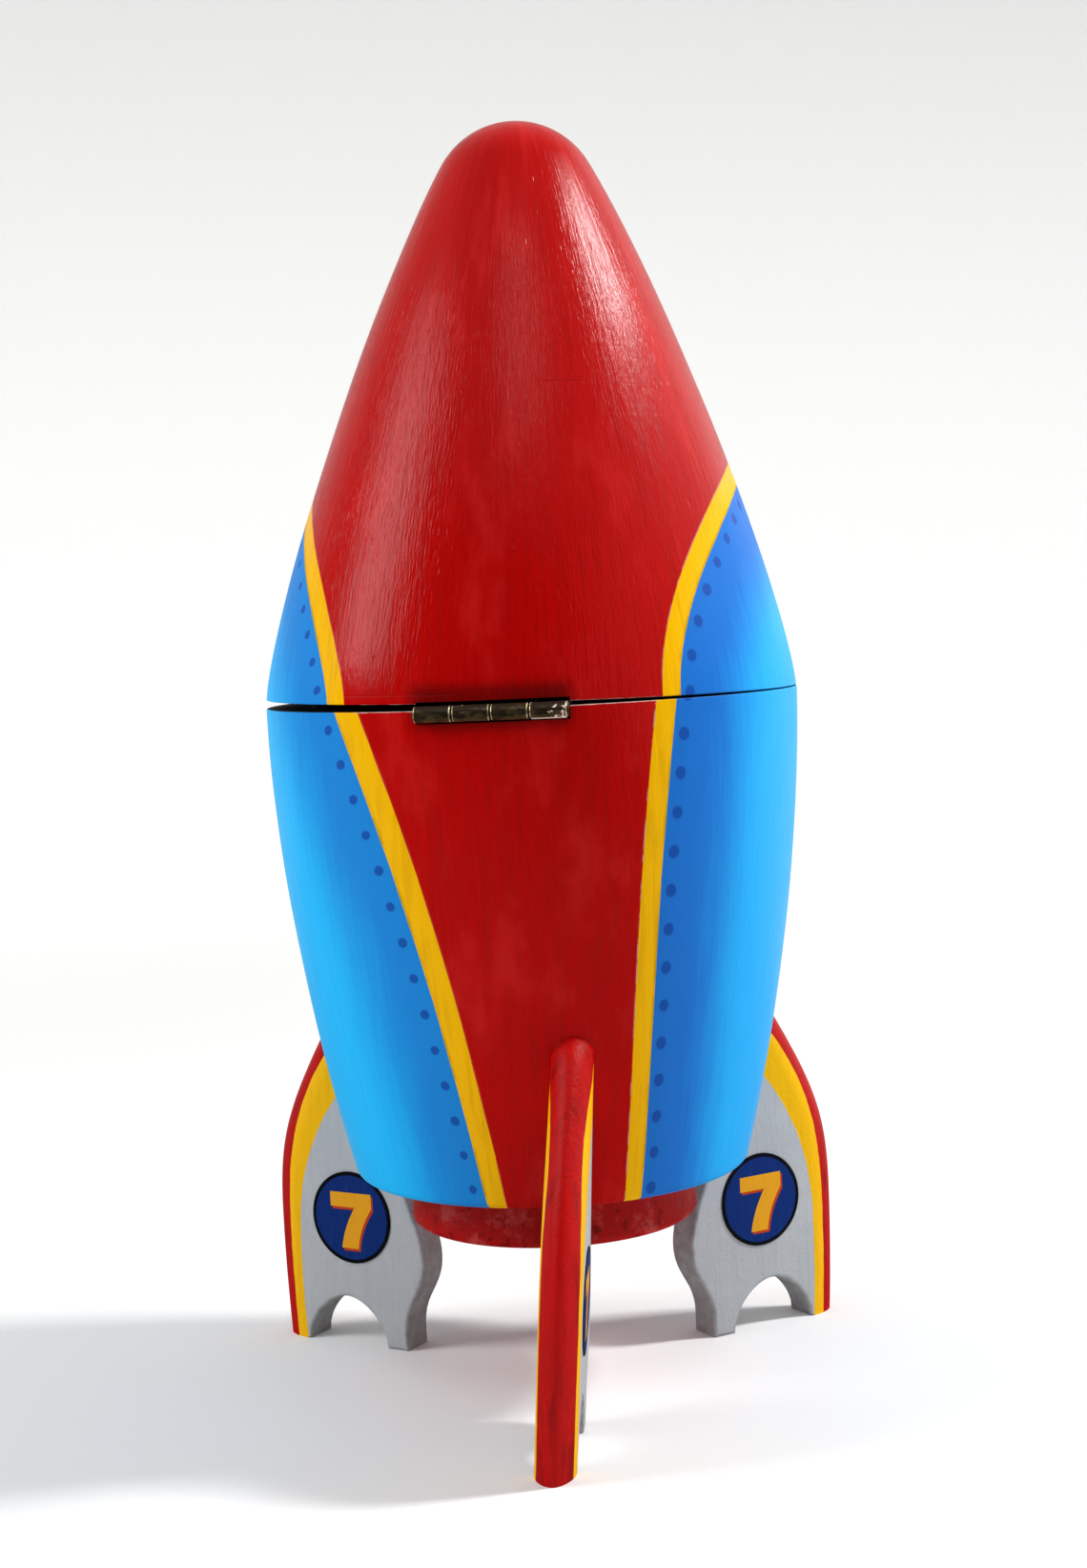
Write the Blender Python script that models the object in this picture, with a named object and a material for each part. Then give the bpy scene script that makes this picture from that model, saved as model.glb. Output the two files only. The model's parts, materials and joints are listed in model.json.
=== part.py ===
"""Painted wooden rocket box: a hinged nose lid on a turned hull that stands on three fins.

Lengths are in metres. +Z is up, the hinge side faces -Y, and the origin lies on the floor
under the middle of the bounding box. The rocket's own axis is upright and stands a little
behind the origin, because one fin points forward along -Y.
"""

import math

import bmesh
import bpy
from mathutils import Matrix, Vector

# Fits between pieces
GLUE_GAP = 0.0003
HOLE_CLEARANCE = 0.00015
PAPER_GAP = 0.0002

# Hull, turned from one block and hollowed from the rim
RIM_RADIUS = 0.0477
RIM_Z = 0.1239
HULL_BASE_RADIUS = 0.0355
HULL_BASE_Z = 0.0386
HULL_SWELL_POWER = 1.8
HULL_EDGE_ROUND = 0.0015
HULL_WALL = 0.0080
CAVITY_FLOOR_Z = 0.0640

# Nose lid, turned from one block and hollowed from its rim
LID_HEIGHT = 0.1010
LID_RIM_INSET = 0.0001
LID_WALL = 0.0080
LID_CAVITY_DEPTH = 0.0700
LID_TILT = math.radians(0.8)
LID_TIP_RADIUS = 0.0153
LID_TIP_FLANK_ANGLE = math.radians(30)
LID_FLANK_ANGLE_AT_RIM = math.radians(4.5)
LID_FLANK_PULL_AT_RIM = 0.0150
LID_FLANK_PULL_AT_TIP = 0.0275

# Engine nozzle, a turned disc under the hull, and the dowel that centres it
NOZZLE_RADIUS = 0.0263
NOZZLE_TOP_RADIUS = 0.0255
NOZZLE_DEPTH = 0.0093
NOZZLE_EDGE_ROUND = 0.0012
NOZZLE_DOWEL_RADIUS = 0.0040
NOZZLE_DOWEL_LENGTH = 0.0120

# Fins, sawn from board; reach is measured from the rocket's axis
FIN_THICKNESS = 0.0070
FIN_REACH = 0.06175
FIN_TOP_Z = 0.0685
FIN_TOP_STEP = 0.0022
FIN_TOP_SLOPE = math.radians(33)
FIN_TOP_PULL = 0.0270
FIN_SHOULDER_Z = 0.0240
FIN_SHOULDER_PULL = 0.0160
FIN_FOOT_TUCK = 0.00085
FIN_BEVEL_DEPTH = 0.0035
FIN_BEVEL_STEP = 0.0007
FIN_ROUND_DEPTH = 0.0058
OUTER_FOOT_WIDTH = 0.0066
ARCH_HEIGHT = 0.0092
ARCH_POWER = 1.6
INNER_FOOT_WIDTH = 0.0048
INNER_FOOT_HEIGHT = 0.0035
INNER_FOOT_SETBACK = 0.0054
BULGE_WIDTH = 0.0045
BULGE_Z = 0.0175
BULGE_PULL_SHARE = 0.45
ROOT_RISE_SHARE = 0.25
NOZZLE_TO_FIN = 0.0020
REAR_FIN_LEAN = math.radians(4.2)
LEAN_PIVOT_Z = 0.0200
REAR_FIN_TWIST = math.radians(4.3)
TWIST_PIVOT_REACH = 0.0550
SIDE_FIN_TURN = math.radians(120)

# Dowels that join each fin to the hull
FIN_DOWEL_RADIUS = 0.0020
FIN_DOWEL_LENGTH = 0.0140
FIN_DOWEL_SHARES = (0.25, 0.62)

# Paper number discs on both faces of each fin
DISC_RADIUS = 0.0089
DISC_THICKNESS = 0.0003
DISC_INSET = 0.01855
DISC_Z = 0.0249

# Butt hinge between the two rims
HINGE_TURN = math.radians(-7.6)
HINGE_STANDOFF = 0.0006
HINGE_DROP = 0.00055
HINGE_LENGTH = 0.0250
KNUCKLE_COUNT = 4
KNUCKLE_RADIUS = 0.00135
KNUCKLE_GAP = 0.0003
PIN_RADIUS = 0.0006
PIN_OVERHANG = 0.0003
LEAF_WIDTH = 0.0072
LEAF_THICKNESS = 0.0009
LEAF_PARTING = 0.0007
LID_RECESS = 0.0006

# Countersunk screws that hold the hinge leaves
SCREW_SPACING = 0.0130
SCREW_REACH = 0.0045
SCREW_HEAD_RADIUS = 0.0014
SCREW_SHANK_RADIUS = 0.0008
SCREW_LENGTH = 0.0075
SCREW_POINT = 0.0012
SCREW_SLOT_WIDTH = 0.0004
SCREW_SLOT_DEPTH = 0.0003

# Fineness of the round forms
TURNED_SEGMENTS = 48
TURNED_STEPS = 14
CURVE_STEPS = 8
CAVITY_STEPS = 5
SMALL_SEGMENTS = 16
DISC_SEGMENTS = 32
CUT_MARGIN = 0.0050
MERGE_DISTANCE = 0.000003
SHARP_ANGLE = math.radians(30)

# Places that follow from the sizes
AXIS_Y = (FIN_REACH - RIM_RADIUS) / 2
LID_RIM_RADIUS = RIM_RADIUS - LID_RIM_INSET
HINGE_REACH = RIM_RADIUS + HINGE_STANDOFF
HINGE_Z = RIM_Z - HINGE_DROP
LEAF_INNER = LEAF_PARTING / 2
LEAF_OUTER = LEAF_INNER + LEAF_THICKNESS
HINGE_HALF_HEIGHT = max(KNUCKLE_RADIUS, LEAF_OUTER)
NOZZLE_TOP_Z = HULL_BASE_Z - GLUE_GAP
NOZZLE_BOTTOM_Z = NOZZLE_TOP_Z - NOZZLE_DEPTH
NOZZLE_HOLE_RADIUS = NOZZLE_DOWEL_RADIUS + HOLE_CLEARANCE
NOZZLE_HOLE_DEPTH = (NOZZLE_DOWEL_LENGTH - GLUE_GAP) / 2 + GLUE_GAP
FIN_TURNS = {"rear": 0.0, "left": -SIDE_FIN_TURN, "right": SIDE_FIN_TURN}
REAR_FIN_SET = (math.tan(REAR_FIN_LEAN), math.tan(REAR_FIN_TWIST))
FIN_SETS = {"rear": REAR_FIN_SET, "left": (0.0, 0.0), "right": (0.0, 0.0)}

# Finishes: linear red, green and blue, then roughness and metallic
BLUE_PAINT = (0.03, 0.35, 0.83, 0.45, 0.0)
RED_PAINT = (0.45, 0.01, 0.01, 0.30, 0.0)
GREY_PAINT = (0.38, 0.40, 0.43, 0.50, 0.0)
BARE_WOOD = (0.60, 0.42, 0.24, 0.80, 0.0)
NAVY_PRINT = (0.01, 0.03, 0.18, 0.50, 0.0)
OLD_BRASS = (0.30, 0.22, 0.10, 0.35, 1.0)


# Outlines

def hull_radius(z):
    """Outer radius of the hull's side at height z."""
    share = (RIM_Z - z) / (RIM_Z - HULL_BASE_Z)
    return RIM_RADIUS - (RIM_RADIUS - HULL_BASE_RADIUS) * max(share, 0.0) ** HULL_SWELL_POWER


def spread(low, high, steps):
    """Evenly spaced values from low to high, both included."""
    return [low + (high - low) * i / steps for i in range(steps + 1)]


def cubic(start, pull_start, pull_end, end, steps):
    """Points along a cubic curve through start and end."""
    points = []
    for t in spread(0.0, 1.0, steps):
        s = 1.0 - t
        points.append(s ** 3 * start + 3 * s * s * t * pull_start + 3 * s * t * t * pull_end + t ** 3 * end)
    return points


def rounded(before, corner, after, radius, steps):
    """Arc that rounds the corner between two straight runs."""
    back = (before - corner).normalized()
    ahead = (after - corner).normalized()
    half = back.angle(ahead) / 2
    centre = corner + (back + ahead).normalized() * (radius / math.sin(half))
    first = corner + back * (radius / math.tan(half)) - centre
    last = corner + ahead * (radius / math.tan(half)) - centre
    sweep = first.angle(last)
    points = []
    for t in spread(0.0, 1.0, steps):
        weight_first = math.sin((1 - t) * sweep) / math.sin(sweep)
        weight_last = math.sin(t * sweep) / math.sin(sweep)
        points.append(centre + weight_first * first + weight_last * last)
    return points


def hull_outline(grow):
    """Outer outline of the hull from the edge of its underside to its rim, grown by a gap."""
    corner = Vector((HULL_BASE_RADIUS, HULL_BASE_Z))
    inward = Vector((0.0, HULL_BASE_Z))
    up = Vector((hull_radius(HULL_BASE_Z + HULL_EDGE_ROUND), HULL_BASE_Z + HULL_EDGE_ROUND))
    points = rounded(inward, corner, up, HULL_EDGE_ROUND, CURVE_STEPS // 2)
    for z in spread(HULL_BASE_Z + 2 * HULL_EDGE_ROUND, RIM_Z, TURNED_STEPS):
        points.append(Vector((hull_radius(z), z)))
    grown = []
    for point in points:
        drop = grow if point.y < HULL_BASE_Z + HULL_EDGE_ROUND else 0.0
        grown.append(Vector((point.x + grow, point.y - drop)))
    return grown


def lid_outline():
    """Outer outline of the lid from its rim, at height 0, to its tip."""
    tip_centre = LID_HEIGHT - LID_TIP_RADIUS
    sine = math.sin(LID_TIP_FLANK_ANGLE)
    cosine = math.cos(LID_TIP_FLANK_ANGLE)
    rim = Vector((LID_RIM_RADIUS, 0.0))
    shoulder = Vector((LID_TIP_RADIUS * cosine, tip_centre + LID_TIP_RADIUS * sine))
    rim_way = Vector((-math.sin(LID_FLANK_ANGLE_AT_RIM), math.cos(LID_FLANK_ANGLE_AT_RIM)))
    tip_way = Vector((-sine, cosine))
    pull_rim = rim + rim_way * LID_FLANK_PULL_AT_RIM
    pull_tip = shoulder - tip_way * LID_FLANK_PULL_AT_TIP
    points = cubic(rim, pull_rim, pull_tip, shoulder, TURNED_STEPS)
    for angle in spread(LID_TIP_FLANK_ANGLE, math.pi / 2, CURVE_STEPS)[1:]:
        rise = LID_TIP_RADIUS * math.sin(angle)
        points.append(Vector((LID_TIP_RADIUS * math.cos(angle), tip_centre + rise)))
    return points


def radius_at(outline, height):
    """Radius of an outline, given from bottom to top, at a height."""
    for low, high in zip(outline, outline[1:]):
        if low.y <= height <= high.y:
            share = (height - low.y) / (high.y - low.y)
            return low.x + (high.x - low.x) * share
    return outline[-1].x


def fin_outer_edge():
    """Ridge of a fin's outer edge from its top to the floor, as reach and height."""
    top = Vector((hull_radius(FIN_TOP_Z) + FIN_TOP_STEP, FIN_TOP_Z))
    down = Vector((math.sin(FIN_TOP_SLOPE), -math.cos(FIN_TOP_SLOPE)))
    shoulder = Vector((FIN_REACH, FIN_SHOULDER_Z))
    above = shoulder + Vector((0.0, FIN_SHOULDER_PULL))
    points = cubic(top, top + down * FIN_TOP_PULL, above, shoulder, CURVE_STEPS + 2)
    for z in spread(FIN_SHOULDER_Z, 0.0, CURVE_STEPS // 2)[1:]:
        tuck = FIN_FOOT_TUCK * (1.0 - z / FIN_SHOULDER_Z) ** 2
        points.append(Vector((FIN_REACH - tuck, z)))
    return points


def fin_inner_edge():
    """The rest of a fin's outline: feet, arch, inner edge and the root inside the hull."""
    inner = NOZZLE_RADIUS + INNER_FOOT_SETBACK
    arch_inner = inner + INNER_FOOT_WIDTH
    arch_outer = FIN_REACH - FIN_FOOT_TUCK - OUTER_FOOT_WIDTH
    arch_centre = (arch_inner + arch_outer) / 2
    arch_half = (arch_outer - arch_inner) / 2
    points = []
    for angle in spread(0.0, math.pi, 2 * CURVE_STEPS):
        across = math.copysign(abs(math.cos(angle)) ** (2 / ARCH_POWER), math.cos(angle))
        rise = math.sin(angle) ** (2 / ARCH_POWER) if 0.0 < angle < math.pi else 0.0
        points.append(Vector((arch_centre + across * arch_half, rise * ARCH_HEIGHT)))
    ankle = Vector((inner, INNER_FOOT_HEIGHT))
    belly = Vector((inner - BULGE_WIDTH, BULGE_Z))
    root_reach = max(HULL_BASE_RADIUS - HULL_EDGE_ROUND, NOZZLE_RADIUS + NOZZLE_TO_FIN)
    root = Vector((root_reach, HULL_BASE_Z + GLUE_GAP))
    lift = Vector((0.0, (BULGE_Z - INNER_FOOT_HEIGHT) * BULGE_PULL_SHARE))
    rise_from_belly = Vector((0.0, (HULL_BASE_Z - BULGE_Z) * ROOT_RISE_SHARE))
    reach_to_root = (root - belly) * BULGE_PULL_SHARE
    points.append(Vector((inner, 0.0)))
    points += cubic(ankle, ankle + lift, belly - lift, belly, CURVE_STEPS)
    points += cubic(belly, belly + rise_from_belly, root - reach_to_root, root, CURVE_STEPS)[1:]
    points.append(Vector((root.x, FIN_TOP_Z + GLUE_GAP)))
    return points


# Mesh and object helpers

def clear_scene():
    for old in list(bpy.data.objects):
        bpy.data.objects.remove(old, do_unlink=True)


def turned(outline, segments=TURNED_SEGMENTS):
    """Closed mesh turned about Z from an outline that starts and ends on the axis."""
    shape = bmesh.new()
    verts = [shape.verts.new((point.x, 0.0, point.y)) for point in outline]
    edges = [shape.edges.new(pair) for pair in zip(verts, verts[1:])]
    bmesh.ops.spin(shape, geom=verts + edges, cent=(0, 0, 0), axis=(0, 0, 1), dvec=(0, 0, 0),
                   angle=math.tau, steps=segments, use_merge=True)
    bmesh.ops.remove_doubles(shape, verts=shape.verts, dist=MERGE_DISTANCE)
    return shape


def add_cylinder(shape, place, radius, length, segments=SMALL_SEGMENTS):
    """Cylinder centred on a place and running along its Z."""
    bmesh.ops.create_cone(shape, cap_ends=True, segments=segments, radius1=radius, radius2=radius,
                          depth=length, matrix=place)


def add_box(shape, low, high):
    """Box between two opposite corners."""
    middle = (Vector(low) + Vector(high)) / 2
    size = Vector(high) - Vector(low)
    bmesh.ops.create_cube(shape, size=1.0, matrix=Matrix.LocRotScale(middle, None, size))


def make_object(name, shape, parent, place=Matrix.Identity(4)):
    """Object from a mesh, put at a place under its parent empty."""
    bmesh.ops.recalc_face_normals(shape, faces=shape.faces)
    mesh = bpy.data.meshes.new(name)
    shape.to_mesh(mesh)
    shape.free()
    mesh.shade_smooth()
    mesh.set_sharp_from_angle(angle=SHARP_ANGLE)
    made = bpy.data.objects.new(name, mesh)
    bpy.context.scene.collection.objects.link(made)
    made.parent = parent
    made.matrix_basis = place
    return made


def make_tool(name, shape, parent, place=Matrix.Identity(4)):
    """Hidden object that only cuts or joins others."""
    tool = make_object(name, shape, parent, place)
    tool.hide_render = True
    tool.display_type = 'WIRE'
    return tool


def boolean(target, tool, operation):
    step = target.modifiers.new(f"{operation.lower()}_{tool.name}", 'BOOLEAN')
    step.operation = operation
    step.object = tool
    step.solver = 'EXACT'


def finish(made, look):
    """Give an object its own plain material."""
    colour = (*look[:3], 1.0)
    roughness, metallic = look[3:]
    material = bpy.data.materials.new(made.name)
    material.use_nodes = True
    shader = material.node_tree.nodes["Principled BSDF"]
    shader.inputs["Base Color"].default_value = colour
    shader.inputs["Roughness"].default_value = roughness
    shader.inputs["Metallic"].default_value = metallic
    material.diffuse_color = colour
    made.data.materials.append(material)


def make_empty(name, place, parent=None):
    empty = bpy.data.objects.new(name, None)
    bpy.context.scene.collection.objects.link(empty)
    empty.parent = parent
    empty.matrix_basis = place
    return empty


# Turned pieces

def make_hull(rocket):
    hole_top = HULL_BASE_Z + NOZZLE_HOLE_DEPTH
    outline = [
        Vector((0.0, hole_top)),
        Vector((NOZZLE_HOLE_RADIUS, hole_top)),
        Vector((NOZZLE_HOLE_RADIUS, HULL_BASE_Z)),
    ]
    outline += hull_outline(0.0)
    for z in spread(RIM_Z, CAVITY_FLOOR_Z, CAVITY_STEPS):
        outline.append(Vector((hull_radius(z) - HULL_WALL, z)))
    outline.append(Vector((0.0, CAVITY_FLOOR_Z)))
    hull = make_object("lower_hull", turned(outline), rocket)
    finish(hull, BLUE_PAINT)
    return hull


def make_lid(hinge, rocket_to_hinge):
    outer = lid_outline()
    outline = list(reversed(outer))
    for height in spread(0.0, LID_CAVITY_DEPTH, CAVITY_STEPS):
        outline.append(Vector((radius_at(outer, height) - LID_WALL, height)))
    outline.append(Vector((0.0, LID_CAVITY_DEPTH)))
    low_side = Matrix.Translation((LID_RIM_RADIUS, 0.0, RIM_Z + GLUE_GAP))
    place = low_side @ Matrix.Rotation(LID_TILT, 4, 'Y') @ Matrix.Translation((-LID_RIM_RADIUS, 0.0, 0.0))
    lid = make_object("nose_lid", turned(outline), hinge, rocket_to_hinge @ place)
    finish(lid, RED_PAINT)
    return lid


def make_nozzle(rocket):
    top = Vector((NOZZLE_TOP_RADIUS, NOZZLE_TOP_Z))
    corner = Vector((NOZZLE_RADIUS, NOZZLE_BOTTOM_Z))
    centre = Vector((0.0, NOZZLE_BOTTOM_Z))
    floor = NOZZLE_TOP_Z - NOZZLE_HOLE_DEPTH
    outline = [centre]
    outline += rounded(centre, corner, top, NOZZLE_EDGE_ROUND, CURVE_STEPS // 2)
    outline += [
        top,
        Vector((NOZZLE_HOLE_RADIUS, NOZZLE_TOP_Z)),
        Vector((NOZZLE_HOLE_RADIUS, floor)),
        Vector((0.0, floor)),
    ]
    nozzle = make_object("engine_nozzle", turned(outline), rocket)
    finish(nozzle, RED_PAINT)
    peg = bmesh.new()
    add_cylinder(peg, Matrix.Identity(4), NOZZLE_DOWEL_RADIUS, NOZZLE_DOWEL_LENGTH)
    middle = HULL_BASE_Z - GLUE_GAP / 2
    dowel = make_object("nozzle_dowel", peg, rocket, Matrix.Translation((0.0, 0.0, middle)))
    finish(dowel, BARE_WOOD)


# Fins, their dowels and number discs

def side_shift(fin_set, reach, z):
    """How far a point of a fin lies to the side, where the fin leans and is twisted."""
    lean, twist = fin_set
    return lean * (z - LEAN_PIVOT_Z) + twist * (TWIST_PIVOT_REACH - reach)


def set_askew(shape, fin_set):
    """Shear a fin's piece sideways so that it leans and twists while its feet stay flat."""
    for vert in shape.verts:
        vert.co.x += side_shift(fin_set, -vert.co.y, vert.co.z)


def fin_shape(fin_set):
    """Board with a ridged outer edge: five outlines side by side, joined into one closed mesh."""
    ridge = fin_outer_edge()
    rest = fin_inner_edge()
    face = FIN_THICKNESS / 2
    bevel = face - FIN_BEVEL_STEP
    round_depth = min(FIN_ROUND_DEPTH, OUTER_FOOT_WIDTH - FIN_BEVEL_STEP)
    bevel_depth = min(FIN_BEVEL_DEPTH, round_depth - FIN_BEVEL_STEP)
    layers = [
        (-face, round_depth),
        (-bevel, bevel_depth),
        (0.0, 0.0),
        (bevel, bevel_depth),
        (face, round_depth),
    ]
    shape = bmesh.new()
    loops = []
    for across, depth in layers:
        points = []
        for i, point in enumerate(ridge):
            along = ridge[min(i + 1, len(ridge) - 1)] - ridge[max(i - 1, 0)]
            inward = Vector((along.y, -along.x)).normalized()
            if i == len(ridge) - 1:
                inward = Vector((-1.0, 0.0))
            points.append(point + inward * depth)
        loops.append([shape.verts.new((across, -point.x, point.y)) for point in points + rest])
    for first, second in zip(loops, loops[1:]):
        for i in range(len(first)):
            j = (i + 1) % len(first)
            shape.faces.new((first[i], first[j], second[j], second[i]))
    shape.faces.new(loops[0])
    shape.faces.new(list(reversed(loops[-1])))
    set_askew(shape, fin_set)
    return shape


def dowel_places(turn, fin_set):
    """Places of a fin's two dowels, each centred on the hull's side and lying along the fin."""
    places = []
    for share in FIN_DOWEL_SHARES:
        z = HULL_BASE_Z + (FIN_TOP_Z - HULL_BASE_Z) * share
        reach = hull_radius(z) + GLUE_GAP / 2
        point = Vector((side_shift(fin_set, reach, z), -reach, z))
        along_fin = Matrix.Rotation(-math.atan(fin_set[1]), 4, 'Z')
        lie_flat = Matrix.Rotation(math.pi / 2, 4, 'X')
        places.append(Matrix.Rotation(turn, 4, 'Z') @ Matrix.Translation(point) @ along_fin @ lie_flat)
    return places


def make_discs(side, rocket, place):
    """Paper number discs on the two faces of a fin."""
    lie = Matrix.Rotation(math.pi / 2, 4, 'Y')
    centre = FIN_THICKNESS / 2 + PAPER_GAP + DISC_THICKNESS / 2
    for face, sign in (("a", -1), ("b", 1)):
        shape = bmesh.new()
        middle = Vector((sign * centre, DISC_INSET - FIN_REACH, DISC_Z))
        add_cylinder(shape, Matrix.Translation(middle) @ lie, DISC_RADIUS, DISC_THICKNESS, DISC_SEGMENTS)
        set_askew(shape, FIN_SETS[side])
        disc = make_object(f"number_disc_{side}_{face}", shape, rocket, place)
        finish(disc, NAVY_PRINT)


def make_fins(rocket, hull):
    envelope = [Vector((0.0, HULL_BASE_Z - GLUE_GAP))] + hull_outline(GLUE_GAP)
    envelope.append(Vector((0.0, RIM_Z)))
    hull_space = make_tool("hull_space", turned(envelope), rocket)
    holes = bmesh.new()
    for side, turn in FIN_TURNS.items():
        for place in dowel_places(turn, FIN_SETS[side]):
            add_cylinder(holes, place, FIN_DOWEL_RADIUS + HOLE_CLEARANCE, FIN_DOWEL_LENGTH + 2 * GLUE_GAP)
    dowel_holes = make_tool("dowel_holes", holes, rocket)
    boolean(hull, dowel_holes, 'DIFFERENCE')
    for side, turn in FIN_TURNS.items():
        place = Matrix.Rotation(turn, 4, 'Z')
        fin = make_object(f"fin_{side}", fin_shape(FIN_SETS[side]), rocket, place)
        boolean(fin, hull_space, 'DIFFERENCE')
        boolean(fin, dowel_holes, 'DIFFERENCE')
        finish(fin, GREY_PAINT)
        for i, dowel_place in enumerate(dowel_places(turn, FIN_SETS[side])):
            peg = bmesh.new()
            add_cylinder(peg, Matrix.Identity(4), FIN_DOWEL_RADIUS, FIN_DOWEL_LENGTH)
            dowel = make_object(f"fin_dowel_{side}_{i + 1}", peg, rocket, dowel_place)
            finish(dowel, BARE_WOOD)
        make_discs(side, rocket, place)


# Hinge; its own frame has X along the pin, Y towards the rocket's axis and Z up

def knuckle_spans():
    """Start and end of each knuckle along the pin."""
    length = (HINGE_LENGTH - (KNUCKLE_COUNT - 1) * KNUCKLE_GAP) / KNUCKLE_COUNT
    starts = [-HINGE_LENGTH / 2 + i * (length + KNUCKLE_GAP) for i in range(KNUCKLE_COUNT)]
    return [(start, start + length) for start in starts]


def screw_places(side):
    """Places of a leaf's screws, with Z pointing out of the head; side is -1 below, 1 above."""
    places = []
    for end in (-1, 1):
        head = Matrix.Translation((end * SCREW_SPACING / 2, SCREW_REACH, side * LEAF_INNER))
        face_out = Matrix.Rotation(math.pi if side > 0 else 0.0, 4, 'X')
        places.append(head @ face_out)
    return places


def leaf_shape(side, spans):
    """Leaf plate with a tongue for each of its knuckles, cut back beside the other leaf's."""
    half = HINGE_LENGTH / 2
    edge = KNUCKLE_RADIUS + KNUCKLE_GAP
    plan = [Vector((half, LEAF_WIDTH)), Vector((-half, LEAF_WIDTH))]
    for i, (start, end) in enumerate(spans):
        own = i % 2 == (0 if side < 0 else 1)
        left = start if own else start - KNUCKLE_GAP
        right = end if own else end + KNUCKLE_GAP
        reach = 0.0 if own else edge
        plan.append(Vector((max(left, -half), reach)))
        plan.append(Vector((min(right, half), reach)))
    low = min(side * LEAF_INNER, side * LEAF_OUTER)
    shape = bmesh.new()
    floor = shape.faces.new([shape.verts.new((point.x, point.y, low)) for point in plan])
    grown = bmesh.ops.extrude_face_region(shape, geom=[floor])
    top = [item for item in grown["geom"] if isinstance(item, bmesh.types.BMVert)]
    bmesh.ops.translate(shape, verts=top, vec=(0.0, 0.0, LEAF_THICKNESS))
    return shape


def make_leaf(name, side, hinge, screw_space):
    spans = knuckle_spans()
    along = Matrix.Rotation(math.pi / 2, 4, 'Y')
    leaf = make_object(name, leaf_shape(side, spans), hinge)
    rolls = bmesh.new()
    for start, end in spans[0 if side < 0 else 1::2]:
        place = Matrix.Translation(((start + end) / 2, 0.0, 0.0)) @ along
        add_cylinder(rolls, place, KNUCKLE_RADIUS, end - start)
    boolean(leaf, make_tool(f"{name}_rolls", rolls, hinge), 'UNION')
    bore = bmesh.new()
    add_cylinder(bore, along, PIN_RADIUS + HOLE_CLEARANCE, HINGE_LENGTH + 2 * CUT_MARGIN)
    boolean(leaf, make_tool(f"{name}_bore", bore, hinge), 'DIFFERENCE')
    boolean(leaf, screw_space, 'DIFFERENCE')
    finish(leaf, OLD_BRASS)


def make_screw_space(name, side, hinge):
    """Countersunk holes for a leaf's screws, through the leaf and into the wood."""
    head = SCREW_HEAD_RADIUS + HOLE_CLEARANCE
    shank = SCREW_SHANK_RADIUS + HOLE_CLEARANCE
    bottom = -SCREW_LENGTH - GLUE_GAP
    outline = [
        Vector((0.0, bottom)),
        Vector((shank, bottom)),
        Vector((shank, SCREW_SHANK_RADIUS - SCREW_HEAD_RADIUS)),
        Vector((head, 0.0)),
        Vector((head, LEAF_INNER)),
        Vector((0.0, LEAF_INNER)),
    ]
    space = bmesh.new()
    for place in screw_places(side):
        hole = turned(outline, SMALL_SEGMENTS)
        bmesh.ops.transform(hole, matrix=place, verts=hole.verts)
        carrier = bpy.data.meshes.new(name)
        hole.to_mesh(carrier)
        hole.free()
        space.from_mesh(carrier)
        bpy.data.meshes.remove(carrier)
    return make_tool(name, space, hinge)


def make_screws(name, side, hinge):
    outline = [
        Vector((0.0, -SCREW_LENGTH)),
        Vector((SCREW_SHANK_RADIUS, SCREW_POINT - SCREW_LENGTH)),
        Vector((SCREW_SHANK_RADIUS, SCREW_SHANK_RADIUS - SCREW_HEAD_RADIUS)),
        Vector((SCREW_HEAD_RADIUS, 0.0)),
        Vector((0.0, 0.0)),
    ]
    for i, place in enumerate(screw_places(side)):
        screw = make_object(f"{name}_{i + 1}", turned(outline, SMALL_SEGMENTS), hinge, place)
        slot = bmesh.new()
        half = Vector((SCREW_SLOT_WIDTH / 2, 2 * SCREW_HEAD_RADIUS, SCREW_SLOT_DEPTH))
        add_box(slot, -half, half)
        boolean(screw, make_tool(f"{name}_{i + 1}_slot", slot, hinge, place), 'DIFFERENCE')
        finish(screw, OLD_BRASS)


def make_hinge(hinge, hull, lid):
    half = HINGE_LENGTH / 2 + PIN_OVERHANG + GLUE_GAP
    inner = LEAF_WIDTH + GLUE_GAP
    mortise = bmesh.new()
    add_box(mortise, (-half, -CUT_MARGIN, -HINGE_HALF_HEIGHT - GLUE_GAP), (half, inner, CUT_MARGIN))
    boolean(hull, make_tool("hull_mortise", mortise, hinge), 'DIFFERENCE')
    recess = bmesh.new()
    add_box(recess, (-half, -CUT_MARGIN, -CUT_MARGIN), (half, inner, HINGE_HALF_HEIGHT + LID_RECESS))
    boolean(lid, make_tool("lid_recess", recess, hinge), 'DIFFERENCE')
    for level, side, wood in (("lower", -1, hull), ("upper", 1, lid)):
        screw_space = make_screw_space(f"screw_space_{level}", side, hinge)
        boolean(wood, screw_space, 'DIFFERENCE')
        make_leaf(f"hinge_leaf_{level}", side, hinge, screw_space)
        make_screws(f"hinge_screw_{level}", side, hinge)
    rod = bmesh.new()
    add_cylinder(rod, Matrix.Rotation(math.pi / 2, 4, 'Y'), PIN_RADIUS, HINGE_LENGTH + 2 * PIN_OVERHANG)
    pin = make_object("hinge_pin", rod, hinge)
    finish(pin, OLD_BRASS)


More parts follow.
